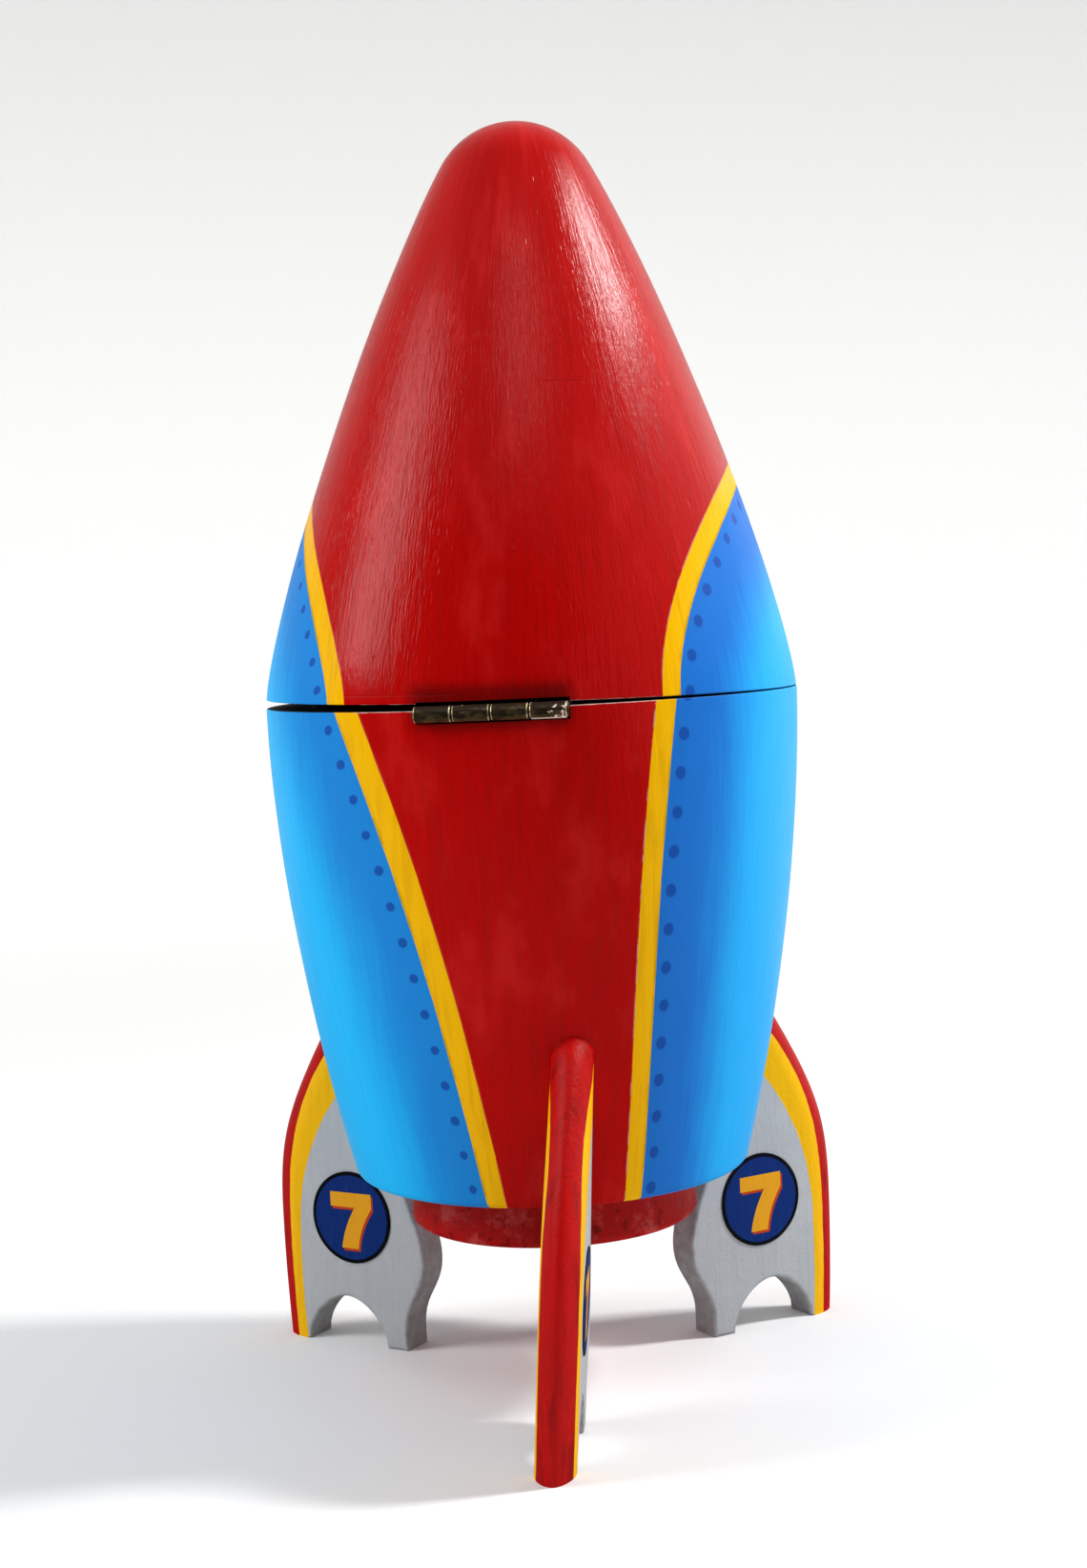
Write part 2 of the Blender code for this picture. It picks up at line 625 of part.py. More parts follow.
def build():
    clear_scene()
    rocket = make_empty("rocket_axis", Matrix.Translation((0.0, AXIS_Y, 0.0)))
    hinge_place = Matrix.Rotation(HINGE_TURN, 4, 'Z') @ Matrix.Translation((0.0, -HINGE_REACH, HINGE_Z))
    hinge = make_empty("hinge_axis", hinge_place, rocket)
    hull = make_hull(rocket)
    lid = make_lid(hinge, hinge_place.inverted())
    make_nozzle(rocket)
    make_fins(rocket, hull)
    make_hinge(hinge, hull, lid)


build()
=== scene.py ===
"""Looks of the painted wooden rocket box: fine meshes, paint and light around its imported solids.

Lengths are in metres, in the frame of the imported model: +Z up, with the hinge side facing -Y.
Turned pieces are modelled about their own axis and then put in place.
"""

import json
from math import atan2, copysign, cos, degrees, hypot, pi, radians, sin, sqrt, tan, tau

import bmesh
import bpy
from mathutils import Matrix, Vector, noise
from mathutils.bvhtree import BVHTree
from mathutils.geometry import delaunay_2d_cdt
from mathutils.kdtree import KDTree


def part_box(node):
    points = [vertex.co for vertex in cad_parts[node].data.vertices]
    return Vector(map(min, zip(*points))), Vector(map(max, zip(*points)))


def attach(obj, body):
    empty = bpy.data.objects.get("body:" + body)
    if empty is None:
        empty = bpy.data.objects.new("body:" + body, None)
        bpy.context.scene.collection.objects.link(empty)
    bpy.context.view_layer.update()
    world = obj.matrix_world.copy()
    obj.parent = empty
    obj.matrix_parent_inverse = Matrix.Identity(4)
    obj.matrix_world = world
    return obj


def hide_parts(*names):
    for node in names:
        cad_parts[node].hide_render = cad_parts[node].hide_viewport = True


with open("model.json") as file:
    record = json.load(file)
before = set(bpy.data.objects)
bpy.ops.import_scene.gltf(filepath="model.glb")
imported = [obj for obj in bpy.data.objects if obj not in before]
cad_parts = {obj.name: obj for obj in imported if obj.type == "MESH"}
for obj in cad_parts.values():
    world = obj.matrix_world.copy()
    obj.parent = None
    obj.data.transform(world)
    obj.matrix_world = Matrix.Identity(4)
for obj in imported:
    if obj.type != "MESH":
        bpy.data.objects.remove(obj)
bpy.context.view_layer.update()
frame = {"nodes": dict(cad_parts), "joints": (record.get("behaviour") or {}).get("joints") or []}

MM = 0.001


def screen(*values):
    """Linear colour from red, green and blue screen values."""
    made = []
    for value in values:
        share = value / 255.0
        made.append(share / 12.92 if share <= 0.04045 else ((share + 0.055) / 1.055) ** 2.4)
    return (*made, 1.0)


# Places read from the frame
hull_low, hull_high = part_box("lower_hull")
RIM_RADIUS = hull_high.x
RIM_Z = hull_high.z
BASE_Z = hull_low.z
AXIS = Matrix.Translation((0.0, hull_high.y - RIM_RADIUS, 0.0))
nozzle_low, nozzle_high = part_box("engine_nozzle")
joint = frame["joints"][0]
HINGE_PLACE = Vector(joint["pos_m"])
HINGE_ALONG = Vector(joint["axis"]).normalized()

# Turned forms
HULL_BASE_RADIUS = 35.5 * MM
HULL_SWELL_POWER = 1.8
HULL_EDGE_ROUND = 1.5 * MM
CAVITY_FLOOR_Z = 64.0 * MM
WALL = 8.0 * MM
RIM_ROUND = 0.18 * MM
SKIN_DEPTH = 1.2 * RIM_ROUND
FLOOR_ROUND = 1.5 * MM
LID_RIM_RADIUS = RIM_RADIUS - 0.1 * MM
LID_GAP = 0.16 * MM
LID_TILT = radians(0.8)
LID_HEIGHT = 101.0 * MM
LID_CAVITY_DEPTH = 70.0 * MM
LID_TIP_RADIUS = 15.3 * MM
LID_TIP_FLANK_ANGLE = radians(30)
LID_FLANK_ANGLE_AT_RIM = radians(4.5)
LID_FLANK_PULL_AT_RIM = 15.0 * MM
LID_FLANK_PULL_AT_TIP = 27.5 * MM
NOZZLE_HOLE_RADIUS = 4.15 * MM
NOZZLE_HOLE_DEPTH = 6.15 * MM
NOZZLE_TAPER = 0.8 * MM
NOZZLE_EDGE_ROUND = 1.6 * MM
SANDING = 0.12 * MM
SANDING_LENGTH = 22.0 * MM

# Hinge, in its own frame: X along the pin, Y towards the rocket's axis, Z up
MORTISE_HALF = 12.65 * MM
MORTISE_DEPTH = 7.5 * MM
MORTISE_BELOW = 1.65 * MM
MORTISE_ABOVE = 1.95 * MM
CUT_MARGIN = 5.0 * MM
CHIP_LENGTH = 1.7 * MM
CHIP_TOP = 0.75 * MM
KNUCKLE_RADIUS = 1.35 * MM
KNUCKLE_SLACK = 0.05 * MM
KNUCKLE_END_SLACK = 0.01 * MM
KNUCKLE_RUB = 0.2 * MM
LEAF_BEVEL = 0.08 * MM
PIN_BEVEL = 0.1 * MM
SCREW_BEVEL = 0.04 * MM

# Fins, in their own frame: -Y outwards, X across the board
FIN_THICKNESS = 7.0 * MM
FIN_REACH = 61.75 * MM
FIN_TOP_Z = 68.5 * MM
FIN_TOP_STEP = 2.2 * MM
FIN_TOP_SLOPE = radians(33)
FIN_TOP_PULL = 27.0 * MM
FIN_SHOULDER_Z = 24.0 * MM
FIN_SHOULDER_PULL = 16.0 * MM
FIN_FOOT_TUCK = 0.85 * MM
FIN_RIDGE_DEPTH = 5.8 * MM
FIN_RIDGE_POWER = 1.7
FIN_BLUNT = 0.5
FIN_BLUNT_Z = 50.0 * MM
FIN_TOP_CAP_Z = 69.3 * MM
FIN_TOP_CAP_SLOPE = radians(15)
FIN_TOP_CAP_SINK = 1.2 * MM
FIN_TOP_CAP_STEPS = 4
FIN_EDGE_ROUND = 0.6 * MM
OUTER_FOOT_WIDTH = 6.6 * MM
ARCH_HEIGHT = 9.2 * MM
ARCH_POWER = 1.75
INNER_FOOT_REACH = 31.7 * MM
INNER_FOOT_WIDTH = 4.8 * MM
INNER_FOOT_HEIGHT = 3.5 * MM
ANKLE_PULL = Vector((0.0, 6.3 * MM))
BELLY_REACH = 27.2 * MM
BELLY_Z = 17.5 * MM
BELLY_PULL = Vector((0.0, 5.3 * MM))
ROOT_REACH = 34.0 * MM
ROOT_LIFT = 0.3 * MM
ROOT_PULL = 0.45
FIN_SEAT = 0.1 * MM
REAR_FIN_LEAN = tan(radians(4.2))
LEAN_PIVOT_Z = 20.0 * MM
REAR_FIN_TWIST = tan(radians(4.3))
TWIST_PIVOT_REACH = 55.0 * MM
FIN_TURNS = {"rear": 0.0, "left": -120.0, "right": 120.0}
FIN_SETS = {"rear": (REAR_FIN_LEAN, REAR_FIN_TWIST), "left": (0.0, 0.0), "right": (0.0, 0.0)}

# Filler round the fins' roots: how far it spreads at the foot and at the top, and how unevenly
FILLER_LEG_LOW = 0.9 * MM
FILLER_LEG_HIGH = 1.7 * MM
FILLER_TOP_DIP = radians(45)
FILLER_SINK = 0.3 * MM
FILLER_HOLLOW = 0.65
FILLER_UNEVEN = 0.25
FILLER_UNEVEN_LENGTH = 5.0 * MM

# Paint edges on the fins' faces: reach of the edge and how it draws in above a shoulder
RED_EDGE = {"reach": 58.0 * MM, "shoulder": 19.0 * MM, "draw": 9.6 * MM, "height": 36.4 * MM, "power": 2.86}
YELLOW_EDGE = {"reach": 55.5 * MM, "shoulder": 17.0 * MM, "draw": 9.4 * MM, "height": 30.4 * MM, "power": 2.5}
FOOT_DRAW = 0.6 * MM
RED_EDGE_LIFTS = {"rear": 1.6 * MM, "left": 0.0, "right": 0.0}

# Number discs
DISC_RADIUS = 8.9 * MM
DISC_RING = 0.92
DISC_REACH = 43.2 * MM
DISC_Z = 24.9 * MM
DISC_THICKNESS = 0.2 * MM
SHADOW_SHIFT = Vector((0.045, -0.055))

# Stripes beside the two blue side panels. Angles are in degrees round the rocket from the hinge side,
# and the front half repeats the rear half. Half widths are given at the hull's foot and rim, and at the
# lid's rim and arch. Rivets give the place of the first dab and their pace.
PANELS = {
    1: {"foot": 22.5, "lean": 0.0, "flare": 5.5, "hull_halves": (1.55 * MM, 1.92 * MM),
        "arch": 60.7, "rise": 38.0 * MM, "power": 1.87, "lid_halves": (1.7 * MM, 2.05 * MM),
        "hull_rivets": (5.3 * MM, 6.6 * MM), "lid_rivets": (0.8 * MM, 7.0 * MM)},
    -1: {"foot": 15.4, "lean": 14.6, "flare": 10.0, "hull_halves": (1.68 * MM, 2.5 * MM),
         "arch": 47.0, "rise": 35.0 * MM, "power": 1.5, "lid_halves": (2.1 * MM, 2.1 * MM),
         "hull_rivets": (1.0 * MM, 6.45 * MM), "lid_rivets": (4.0 * MM, 6.1 * MM)},
}
STRIPE_HALF = 2.0 * MM
RIVET_MEAN_PACE = 6.5 * MM
RIVET_OFFSET = 2.2 * MM
RIVET_RADIUS_LEFT = 0.85 * MM
RIVET_RADIUS_RIGHT = 1.1 * MM
SIDE_BLEND = 10.0 * MM

# Knife marks: height, and the two ends across the hinge side
HULL_SCORES = ((RIM_Z - 1.9 * MM, -17.5 * MM, -12.8 * MM),)
LID_SCORES = ((1.45 * MM, -31.0 * MM, -13.5 * MM), (52.5 * MM, 4.3 * MM, 10.2 * MM))

# Fineness
TURNED_SEGMENTS = 288
COARSE_SEGMENTS = 160
BOWL_SEGMENTS = 96
HULL_STEPS = 76
LID_STEPS = 78
WALL_STEPS = 14
NOZZLE_STEPS = 6
HULL_STRIPE_STEPS = 170
LID_STRIPE_STEPS = 420
FIN_SECTION_STEPS = 24
FIN_GRID = 1.1 * MM
DISC_POINTS = 96
WELD = 0.002 * MM
CAD_WELD = 0.001 * MM
FILL_INSIDE = 1  # Keeps the triangles that lie inside an outline
FILL_MERGE = 1e-4
PRINT_MERGE = 1e-5
FLAT_ANGLE = 1.0
SMOOTH_ANGLE = 40.0
FILLER_SMOOTH_ANGLE = 60.0

# Paint colours
RED = screen(183, 4, 2)
DEEP_RED = screen(168, 2, 1)
THIN_RED = screen(196, 26, 24)
SCUFFED_RED = screen(205, 78, 74)
# Dark red for the nozzle's dents and the fins' streaks, and for painted shade beside the hinge
DIRT_AND_SHADE_RED = screen(62, 4, 4)
YELLOW = screen(242, 182, 0)
DULL_YELLOW = screen(214, 152, 0)
OLIVE = screen(150, 128, 8)
# Two copies of the same light blue, one for each side: painted light for how differently the left and right
# panels are lit
LIGHT_BLUE_PAINTED_LIT_LEFT = screen(20, 183, 250)
LIGHT_BLUE_PAINTED_LIT_RIGHT = screen(24, 170, 242)
DEEP_BLUE_LEFT = screen(20, 130, 213)
DEEP_BLUE_RIGHT = screen(22, 110, 202)
RIVET_BLUE = screen(12, 68, 160)
GREY = screen(178, 181, 185)
DULL_GREY = screen(150, 152, 156)
PALE_GREY = screen(192, 194, 197)
DIRTY_GREY = screen(126, 119, 116)
PRIMER = screen(220, 192, 184)
CHARCOAL = screen(42, 40, 40)
RUBBED_CHARCOAL = screen(64, 54, 46)
BEECH = screen(196, 160, 112)
BEECH_GRAIN = screen(160, 122, 78)
DARK_BRASS = screen(112, 94, 62)
BRIGHT_BRASS = screen(158, 140, 104)
# Pale brass of the knuckles' worn ends, also a painted highlight
WORN_AND_HIGHLIGHT_BRASS = screen(226, 208, 168)
PATINA = screen(52, 43, 32)

# Inks of a number disc from its ring to its numeral: full, and where the print is thin
INKS = {
    "ink_black": (screen(8, 10, 14), screen(30, 32, 36)),
    "ink_navy": (screen(5, 42, 112), screen(36, 72, 150)),
    "ink_brick": (screen(186, 58, 18), screen(206, 96, 40)),
    "ink_orange": (screen(228, 158, 26), screen(206, 132, 20)),
}

# Finishes: blur of painted edges, unsteadiness of the hand, sheen, wear and height of relief.
# A pair gives the two ends of a smooth step.
PAINT_EDGE = 0.06 * MM
STRIPE_WOBBLE = 0.55 * MM
RIVET_WOBBLE = 0.4 * MM
FIN_WOBBLE = 0.6 * MM
PAINT_SHEEN = 0.105
YELLOW_SHEEN = 0.06
BLUE_SHEEN = 0.1
BRASS_METAL = 0.7
RUBBED_METAL = 0.4
HULL_WEAR = 1.0
LID_WEAR = 0.6
LID_FADE_FROM = 50.0 * MM
CHALK_OFFSET = STRIPE_HALF + 0.12 * MM
CHALK_HALF = 0.16 * MM
OLIVE_RIM = (0.7 * MM - STRIPE_HALF, 0.1 * MM - STRIPE_HALF)
BLUE_FADE = (-21.5 * MM, -2.0 * MM)
BLUE_CLOUD = 5.0 * MM
BLUE_STROKE = 2.5 * MM
BLUE_RIGHT_SHIFT = 2.0 * MM
# Painted shade: where the red darkens beside the hinge, across it, towards the rear and above or below the
# joint
HINGE_SHADE_BESIDE = (15.0 * MM, 11.5 * MM)
HINGE_SHADE_REAR = (-20.0 * MM, -30.0 * MM)
HINGE_SHADE_HEIGHT = (4.4 * MM, 1.7 * MM)
RAGGED_WEAR = 0.32 * MM
WORN_EDGE = (0.0, -0.12 * MM)
SCORE_SIDES = (0.16 * MM, 0.05 * MM)
SCORE_RUN_OUT = 1.0 * MM
FIN_GRIME_REACH = 2.2 * MM
FIN_GRIME = (0.2 * MM, 1.6 * MM)
# Height span over which the brass turns lighter below: a painted reflection of the floor
BRASS_PAINTED_REFLECTION_BELOW = (0.7 * MM, -1.1 * MM)
FLECKED_END = (7.5 * MM, 11.5 * MM)
PALE_LINE_X = (6.2 * MM, 6.6 * MM)
PALE_LINE_Z = (-1.08 * MM, -1.2 * MM)
BODY_RELIEF = 0.075 * MM
INSIDE_RELIEF = 0.06 * MM
NOZZLE_RELIEF = 0.07 * MM
FIN_RELIEF = 0.08 * MM
PRINT_RELIEF = 0.015 * MM
BRASS_RELIEF = 0.02 * MM
RUBBED_RELIEF = 0.01 * MM
WOOD_RELIEF = 0.04 * MM

# Camera, as seen from the rocket's axis, with the photograph's frame in pixels
PHOTO_SIZE = (1140, 1644)
FOCAL_PIXELS = 2509.9
CAMERA_PLACE = Vector((3.34, -432.6, 140.34)) * MM
CAMERA_YAW = radians(-0.254)
CAMERA_PITCH = radians(-4.300)
CAMERA_ROLL = radians(-2.612)
SENSOR = 36.0
CLIP_START = 0.01

# Lamps: degrees to the right of the camera's side, degrees up, metres away, width, height, watts
LAMPS = {
    "key": (94.0, 44.0, 0.95, 0.12, 0.2, 8.8),
    "window": (-80.0, 30.0, 0.95, 0.36, 0.46, 4.9),
    "ceiling": (3.0, 53.0, 0.95, 0.13, 0.26, 0.9),
}
LAMP_AIM = Vector((0.0, 0.0, 0.12))

# Stage, with the ends of the smooth steps by which it glows or darkens, in metres
WHITE = (1.0, 1.0, 1.0, 1.0)
AMBIENT = 0.59
BOWL_FLAT = 1.0
BOWL_CURVE = 0.7
BOWL_WALL_TOP = 1.5
FLOOR_WHITE = screen(234, 234, 233)
FLOOR_SHADE = (0.05, 0.05, 0.05, 1.0)
FLOOR_ROUGHNESS = 0.8
FLOOR_SHEEN = 0.1
BACKDROP_GLOW = 0.4
BACKDROP_AWAY = (0.3, 1.0)
BACKDROP_RISE = (0.15, 0.9)
FLANK_GLOW = 0.9
FLANK_X = (0.3, 1.2)
DARK_Y = (0.5, 0.05)
DARK_TURN = 0.35
DIM_Y = (-0.2, -0.8)


# Outlines, as radius or reach and height

def spread(low, high, steps):
    """Evenly spaced values from low to high, both included."""
    return [low + (high - low) * i / steps for i in range(steps + 1)]


def share_between(value, low, high):
    """How far a value lies on the way from low to high, from 0 to 1."""
    return min(max((value - low) / (high - low), 0.0), 1.0)


def cubic(start, pull_start, pull_end, end, steps):
    """Points along a cubic curve through start and end."""
    points = []
    for t in spread(0.0, 1.0, steps):
        s = 1.0 - t
        points.append(s ** 3 * start + 3 * s * s * t * pull_start + 3 * s * t * t * pull_end + t ** 3 * end)
    return points


def rounded(before, corner, after, radius, steps):
    """Arc that rounds the corner between two straight runs."""
    back = (before - corner).normalized()
    ahead = (after - corner).normalized()
    half = back.angle(ahead) / 2
    centre = corner + (back + ahead).normalized() * (radius / sin(half))
    first = corner + back * (radius / tan(half)) - centre
    last = corner + ahead * (radius / tan(half)) - centre
    sweep = first.angle(last)
    points = []
    for t in spread(0.0, 1.0, steps):
        weight_first = sin((1 - t) * sweep) / sin(sweep)
        weight_last = sin(t * sweep) / sin(sweep)
        points.append(centre + weight_first * first + weight_last * last)
    return points


def softened(corners, radii, steps):
    """Outline through corners, each rounded by its own radius where that isn't zero."""
    points = []
    for i, (corner, radius) in enumerate(zip(corners, radii)):
        if radius:
            points += rounded(corners[i - 1], corner, corners[i + 1], radius, steps)
        else:
            points.append(corner)
    return points


def arch_point(angle, power):
    """Place across and height at an angle of a unit arch, which is round at a power of 2."""
    across = copysign(abs(cos(angle)) ** (2 / power), cos(angle))
    return across, abs(sin(angle)) ** (2 / power)


def hollow(low, rim, inner, radius, floor, floor_shares):
    """Outline from a side's end over its rim, along the wall's inner face and across the cavity's floor."""
    corners = [low, rim, Vector((rim.x - WALL, rim.y)), inner]
    outline = softened(corners, (0.0, RIM_ROUND, RIM_ROUND, 0.0), steps=4)[1:]
    end = floor + copysign(2 * FLOOR_ROUND, rim.y - floor)
    for z in spread(inner.y, end, WALL_STEPS)[1:]:
        outline.append(Vector((radius(z) - WALL, z)))
    corner = Vector((radius(floor) - WALL, floor))
    outline += rounded(outline[-1], corner, Vector((0.0, floor)), FLOOR_ROUND, steps=5)
    return outline + [Vector((corner.x * share, floor)) for share in floor_shares]


def hull_radius(z):
    """Outer radius of the hull's side at height z."""
    share = share_between(z, RIM_Z, BASE_Z)
    return RIM_RADIUS - (RIM_RADIUS - HULL_BASE_RADIUS) * share ** HULL_SWELL_POWER


def hull_side(steps):
    """Outer outline of the hull from the edge of its underside to just below its rim."""
    corner = Vector((HULL_BASE_RADIUS, BASE_Z))
    above = Vector((hull_radius(BASE_Z + HULL_EDGE_ROUND), BASE_Z + HULL_EDGE_ROUND))
    points = rounded(Vector((0.0, BASE_Z)), corner, above, HULL_EDGE_ROUND, steps=8)
    for z in spread(BASE_Z + 2 * HULL_EDGE_ROUND, RIM_Z - 2 * RIM_ROUND, steps):
        points.append(Vector((hull_radius(z), z)))
    return points


def hull_outline():
    hole_top = BASE_Z + NOZZLE_HOLE_DEPTH
    outline = [
        Vector((0.0, hole_top)),
        Vector((NOZZLE_HOLE_RADIUS, hole_top)),
        Vector((NOZZLE_HOLE_RADIUS, BASE_Z)),
    ]
    outline += hull_side(HULL_STEPS)
    low = outline[-1]
    rim = Vector((RIM_RADIUS, RIM_Z))
    inner = low - Vector((WALL, 0.0))
    return outline + hollow(low, rim, inner, hull_radius, CAVITY_FLOOR_Z, (0.75, 0.5, 0.25, 0.0))


def lid_side(steps):
    """Outer outline of the lid from its rim, at height 0, to its tip."""
    tip_centre = LID_HEIGHT - LID_TIP_RADIUS
    sine = sin(LID_TIP_FLANK_ANGLE)
    cosine = cos(LID_TIP_FLANK_ANGLE)
    rim = Vector((LID_RIM_RADIUS, 0.0))
    shoulder = Vector((LID_TIP_RADIUS * cosine, tip_centre + LID_TIP_RADIUS * sine))
    rim_way = Vector((-sin(LID_FLANK_ANGLE_AT_RIM), cos(LID_FLANK_ANGLE_AT_RIM)))
    tip_way = Vector((-sine, cosine))
    pull_rim = rim + rim_way * LID_FLANK_PULL_AT_RIM
    pull_tip = shoulder - tip_way * LID_FLANK_PULL_AT_TIP
    points = cubic(rim, pull_rim, pull_tip, shoulder, steps)
    for angle in spread(LID_TIP_FLANK_ANGLE, pi / 2, steps // 3)[1:-1]:
        rise = LID_TIP_RADIUS * sin(angle)
        points.append(Vector((LID_TIP_RADIUS * cos(angle), tip_centre + rise)))
    points.append(Vector((0.0, LID_HEIGHT)))
    return points


LID_SIDE = lid_side(LID_STEPS)


def lid_radius(height):
    """Outer radius of the lid at a height above its rim."""
    for low, high in zip(LID_SIDE, LID_SIDE[1:]):
        if low.y <= height <= high.y:
            share = (height - low.y) / (high.y - low.y)
            return low.x + (high.x - low.x) * share
    return LID_RIM_RADIUS


def lid_outline():
    outline = [point for point in reversed(LID_SIDE) if point.y > 2 * RIM_ROUND]
    rim = Vector((LID_RIM_RADIUS, 0.0))
    inner = Vector((LID_RIM_RADIUS - WALL, 2 * RIM_ROUND))
    return outline + hollow(outline[-1], rim, inner, lid_radius, LID_CAVITY_DEPTH, (0.5, 0.0))


def nozzle_outline():
    top = nozzle_high.z
    bottom = nozzle_low.z
    radius = nozzle_high.x
    corners = [
        Vector((0.0, bottom)),
        Vector((radius, bottom)),
        Vector((radius - NOZZLE_TAPER, top)),
        Vector((NOZZLE_HOLE_RADIUS, top)),
        Vector((NOZZLE_HOLE_RADIUS, top - NOZZLE_HOLE_DEPTH)),
        Vector((0.0, top - NOZZLE_HOLE_DEPTH)),
    ]
    outline = softened(corners, (0.0, NOZZLE_EDGE_ROUND, RIM_ROUND, 0.0, 0.0, 0.0), NOZZLE_STEPS)
    side = NOZZLE_STEPS + 2
    middle = [outline[side - 1].lerp(outline[side], share) for share in (0.25, 0.5, 0.75)]
    return outline[:side] + middle + outline[side:]


def fin_ridge():
    """Ridge of a fin's outer edge from its top to the floor."""
    top = Vector((hull_radius(FIN_TOP_Z) + FIN_TOP_STEP, FIN_TOP_Z))
    down = Vector((sin(FIN_TOP_SLOPE), -cos(FIN_TOP_SLOPE)))
    shoulder = Vector((FIN_REACH, FIN_SHOULDER_Z))
    above = shoulder + Vector((0.0, FIN_SHOULDER_PULL))
    points = cubic(top, top + down * FIN_TOP_PULL, above, shoulder, steps=48)[FIN_TOP_CAP_STEPS:]
    cap = Vector((hull_radius(FIN_TOP_CAP_Z) - FIN_TOP_CAP_SINK, FIN_TOP_CAP_Z))
    ahead = Vector((cos(FIN_TOP_CAP_SLOPE), -sin(FIN_TOP_CAP_SLOPE)))
    pull = (points[0] - cap).length / 3
    join = points[0] - (points[1] - points[0]).normalized() * pull
    points = cubic(cap, cap + ahead * pull, join, points[0], steps=10)[:-1] + points
    for z in spread(FIN_SHOULDER_Z, 0.0, steps=20)[1:]:
        tuck = FIN_FOOT_TUCK * (1.0 - z / FIN_SHOULDER_Z) ** 2
        points.append(Vector((FIN_REACH - tuck, z)))
    return points


def fin_rest():
    """The rest of a fin's outline: feet, arch, inner edge and the root inside the hull."""
    arch_inner = INNER_FOOT_REACH + INNER_FOOT_WIDTH
    arch_outer = FIN_REACH - FIN_FOOT_TUCK - OUTER_FOOT_WIDTH
    centre = (arch_inner + arch_outer) / 2
    half = (arch_outer - arch_inner) / 2
    points = [Vector((arch_outer, 0.0))]
    for angle in spread(0.0, pi, steps=44):
        across, rise = arch_point(angle, ARCH_POWER)
        if ARCH_HEIGHT * rise > 2 * FIN_EDGE_ROUND:
            points.append(Vector((centre + across * half, ARCH_HEIGHT * rise)))
    points += spread(Vector((arch_inner, 0.0)), Vector((INNER_FOOT_REACH, 0.0)), steps=5)
    ankle = Vector((INNER_FOOT_REACH, INNER_FOOT_HEIGHT))
    belly = Vector((BELLY_REACH, BELLY_Z))
    root = Vector((ROOT_REACH, BASE_Z + ROOT_LIFT))
    points.append(ankle.lerp(points[-1], 0.5))
    points += cubic(ankle, ankle + ANKLE_PULL, belly - ANKLE_PULL, belly, steps=20)
    points += cubic(belly, belly + BELLY_PULL, root.lerp(belly, ROOT_PULL), root, steps=20)[1:]
    points += spread(root, Vector((ROOT_REACH, FIN_TOP_Z)), steps=8)[1:]
    return points


# Mesh helpers

def new_object(name, data, place=Matrix.Identity(4)):
    made = bpy.data.objects.new(name, data)
    bpy.context.scene.collection.objects.link(made)
    made.matrix_world = place
    return made


def to_mesh(name, shape):
    """Mesh from a bmesh, with its faces pointing out."""
    bmesh.ops.recalc_face_normals(shape, faces=shape.faces)
    mesh = bpy.data.meshes.new(name)
    shape.to_mesh(mesh)
    shape.free()
    return mesh


def solid(name, shape, place=Matrix.Identity(4)):
    """New object from a bmesh."""
    return new_object(name, to_mesh(name, shape), place)


def coat(made, *materials):
    for material in materials:
        made.data.materials.append(material)


def smooth(made, angle=SMOOTH_ANGLE):
    made.data.shade_smooth()
    made.data.set_sharp_from_angle(angle=radians(angle))


def turned(outline, segments=TURNED_SEGMENTS):
    """Closed bmesh turned about Z from an outline that starts and ends on the axis."""
    shape = bmesh.new()
    rings = []
    for point in outline:
        if point.x == 0.0:
            rings.append([shape.verts.new((0.0, 0.0, point.y))])
            continue
        ring = []
        for i in range(segments):
            angle = tau * i / segments
            ring.append(shape.verts.new((point.x * sin(angle), -point.x * cos(angle), point.y)))
        rings.append(ring)
    for low, high in zip(rings, rings[1:]):
        for i in range(segments):
            j = (i + 1) % segments
            corners = [low[i % len(low)], low[j % len(low)], high[j % len(high)], high[i % len(high)]]
            shape.faces.new(list(dict.fromkeys(corners)))
    return shape


def bridge(shape, loops):
    """Faces between closed loops that lie side by side."""
    for first, second in zip(loops, loops[1:]):
        for i in range(len(first)):
            j = (i + 1) % len(first)
            shape.faces.new((first[i], first[j], second[j], second[i]))


def sand(shape, seed):
    """Small hand-sanded unevenness on a turned form."""
    for vert in shape.verts:
        spot = vert.co / SANDING_LENGTH + Vector((0.0, 0.0, seed))
        flat = Vector((vert.co.x, vert.co.y, 0.0))
        if flat.length > 0.0:
            vert.co += flat.normalized() * (SANDING * noise.noise(spot))


def hinge_frame():
    up = Vector((0.0, 0.0, 1.0))
    turn = Matrix((HINGE_ALONG, up.cross(HINGE_ALONG), up)).transposed()
    return Matrix.Translation(HINGE_PLACE) @ turn.to_4x4()


def cut(made, shape, place):
    """Cut a shape out of an object's mesh for good."""
    tool = solid("cutter", shape, place)
    step = made.modifiers.new("cut", 'BOOLEAN')
    step.operation = 'DIFFERENCE'
    step.object = tool
    step.solver = 'EXACT'
    graph = bpy.context.evaluated_depsgraph_get()
    old = made.data
    made.data = bpy.data.meshes.new_from_object(made.evaluated_get(graph))
    made.modifiers.clear()
    bpy.data.objects.remove(tool)
    bpy.data.meshes.remove(old)


def cut_box(made, low, high):
    """Cut away a box given by two corners in the hinge's own frame."""
    shape = bmesh.new()
    middle = (Vector(low) + Vector(high)) / 2
    size = Vector(high) - Vector(low)
    bmesh.ops.create_cube(shape, size=1.0, matrix=Matrix.LocRotScale(middle, None, size))
    cut(made, shape, hinge_frame())


def tree_of(points):
    """Tree that finds the nearest of some points."""
    tree = KDTree(len(points))
    for i, point in enumerate(points):
        tree.insert(point, i)
    tree.balance()
    return tree


def set_values(mesh, name, values):
    mesh.attributes.new(name, 'FLOAT', 'POINT').data.foreach_set("value", values)


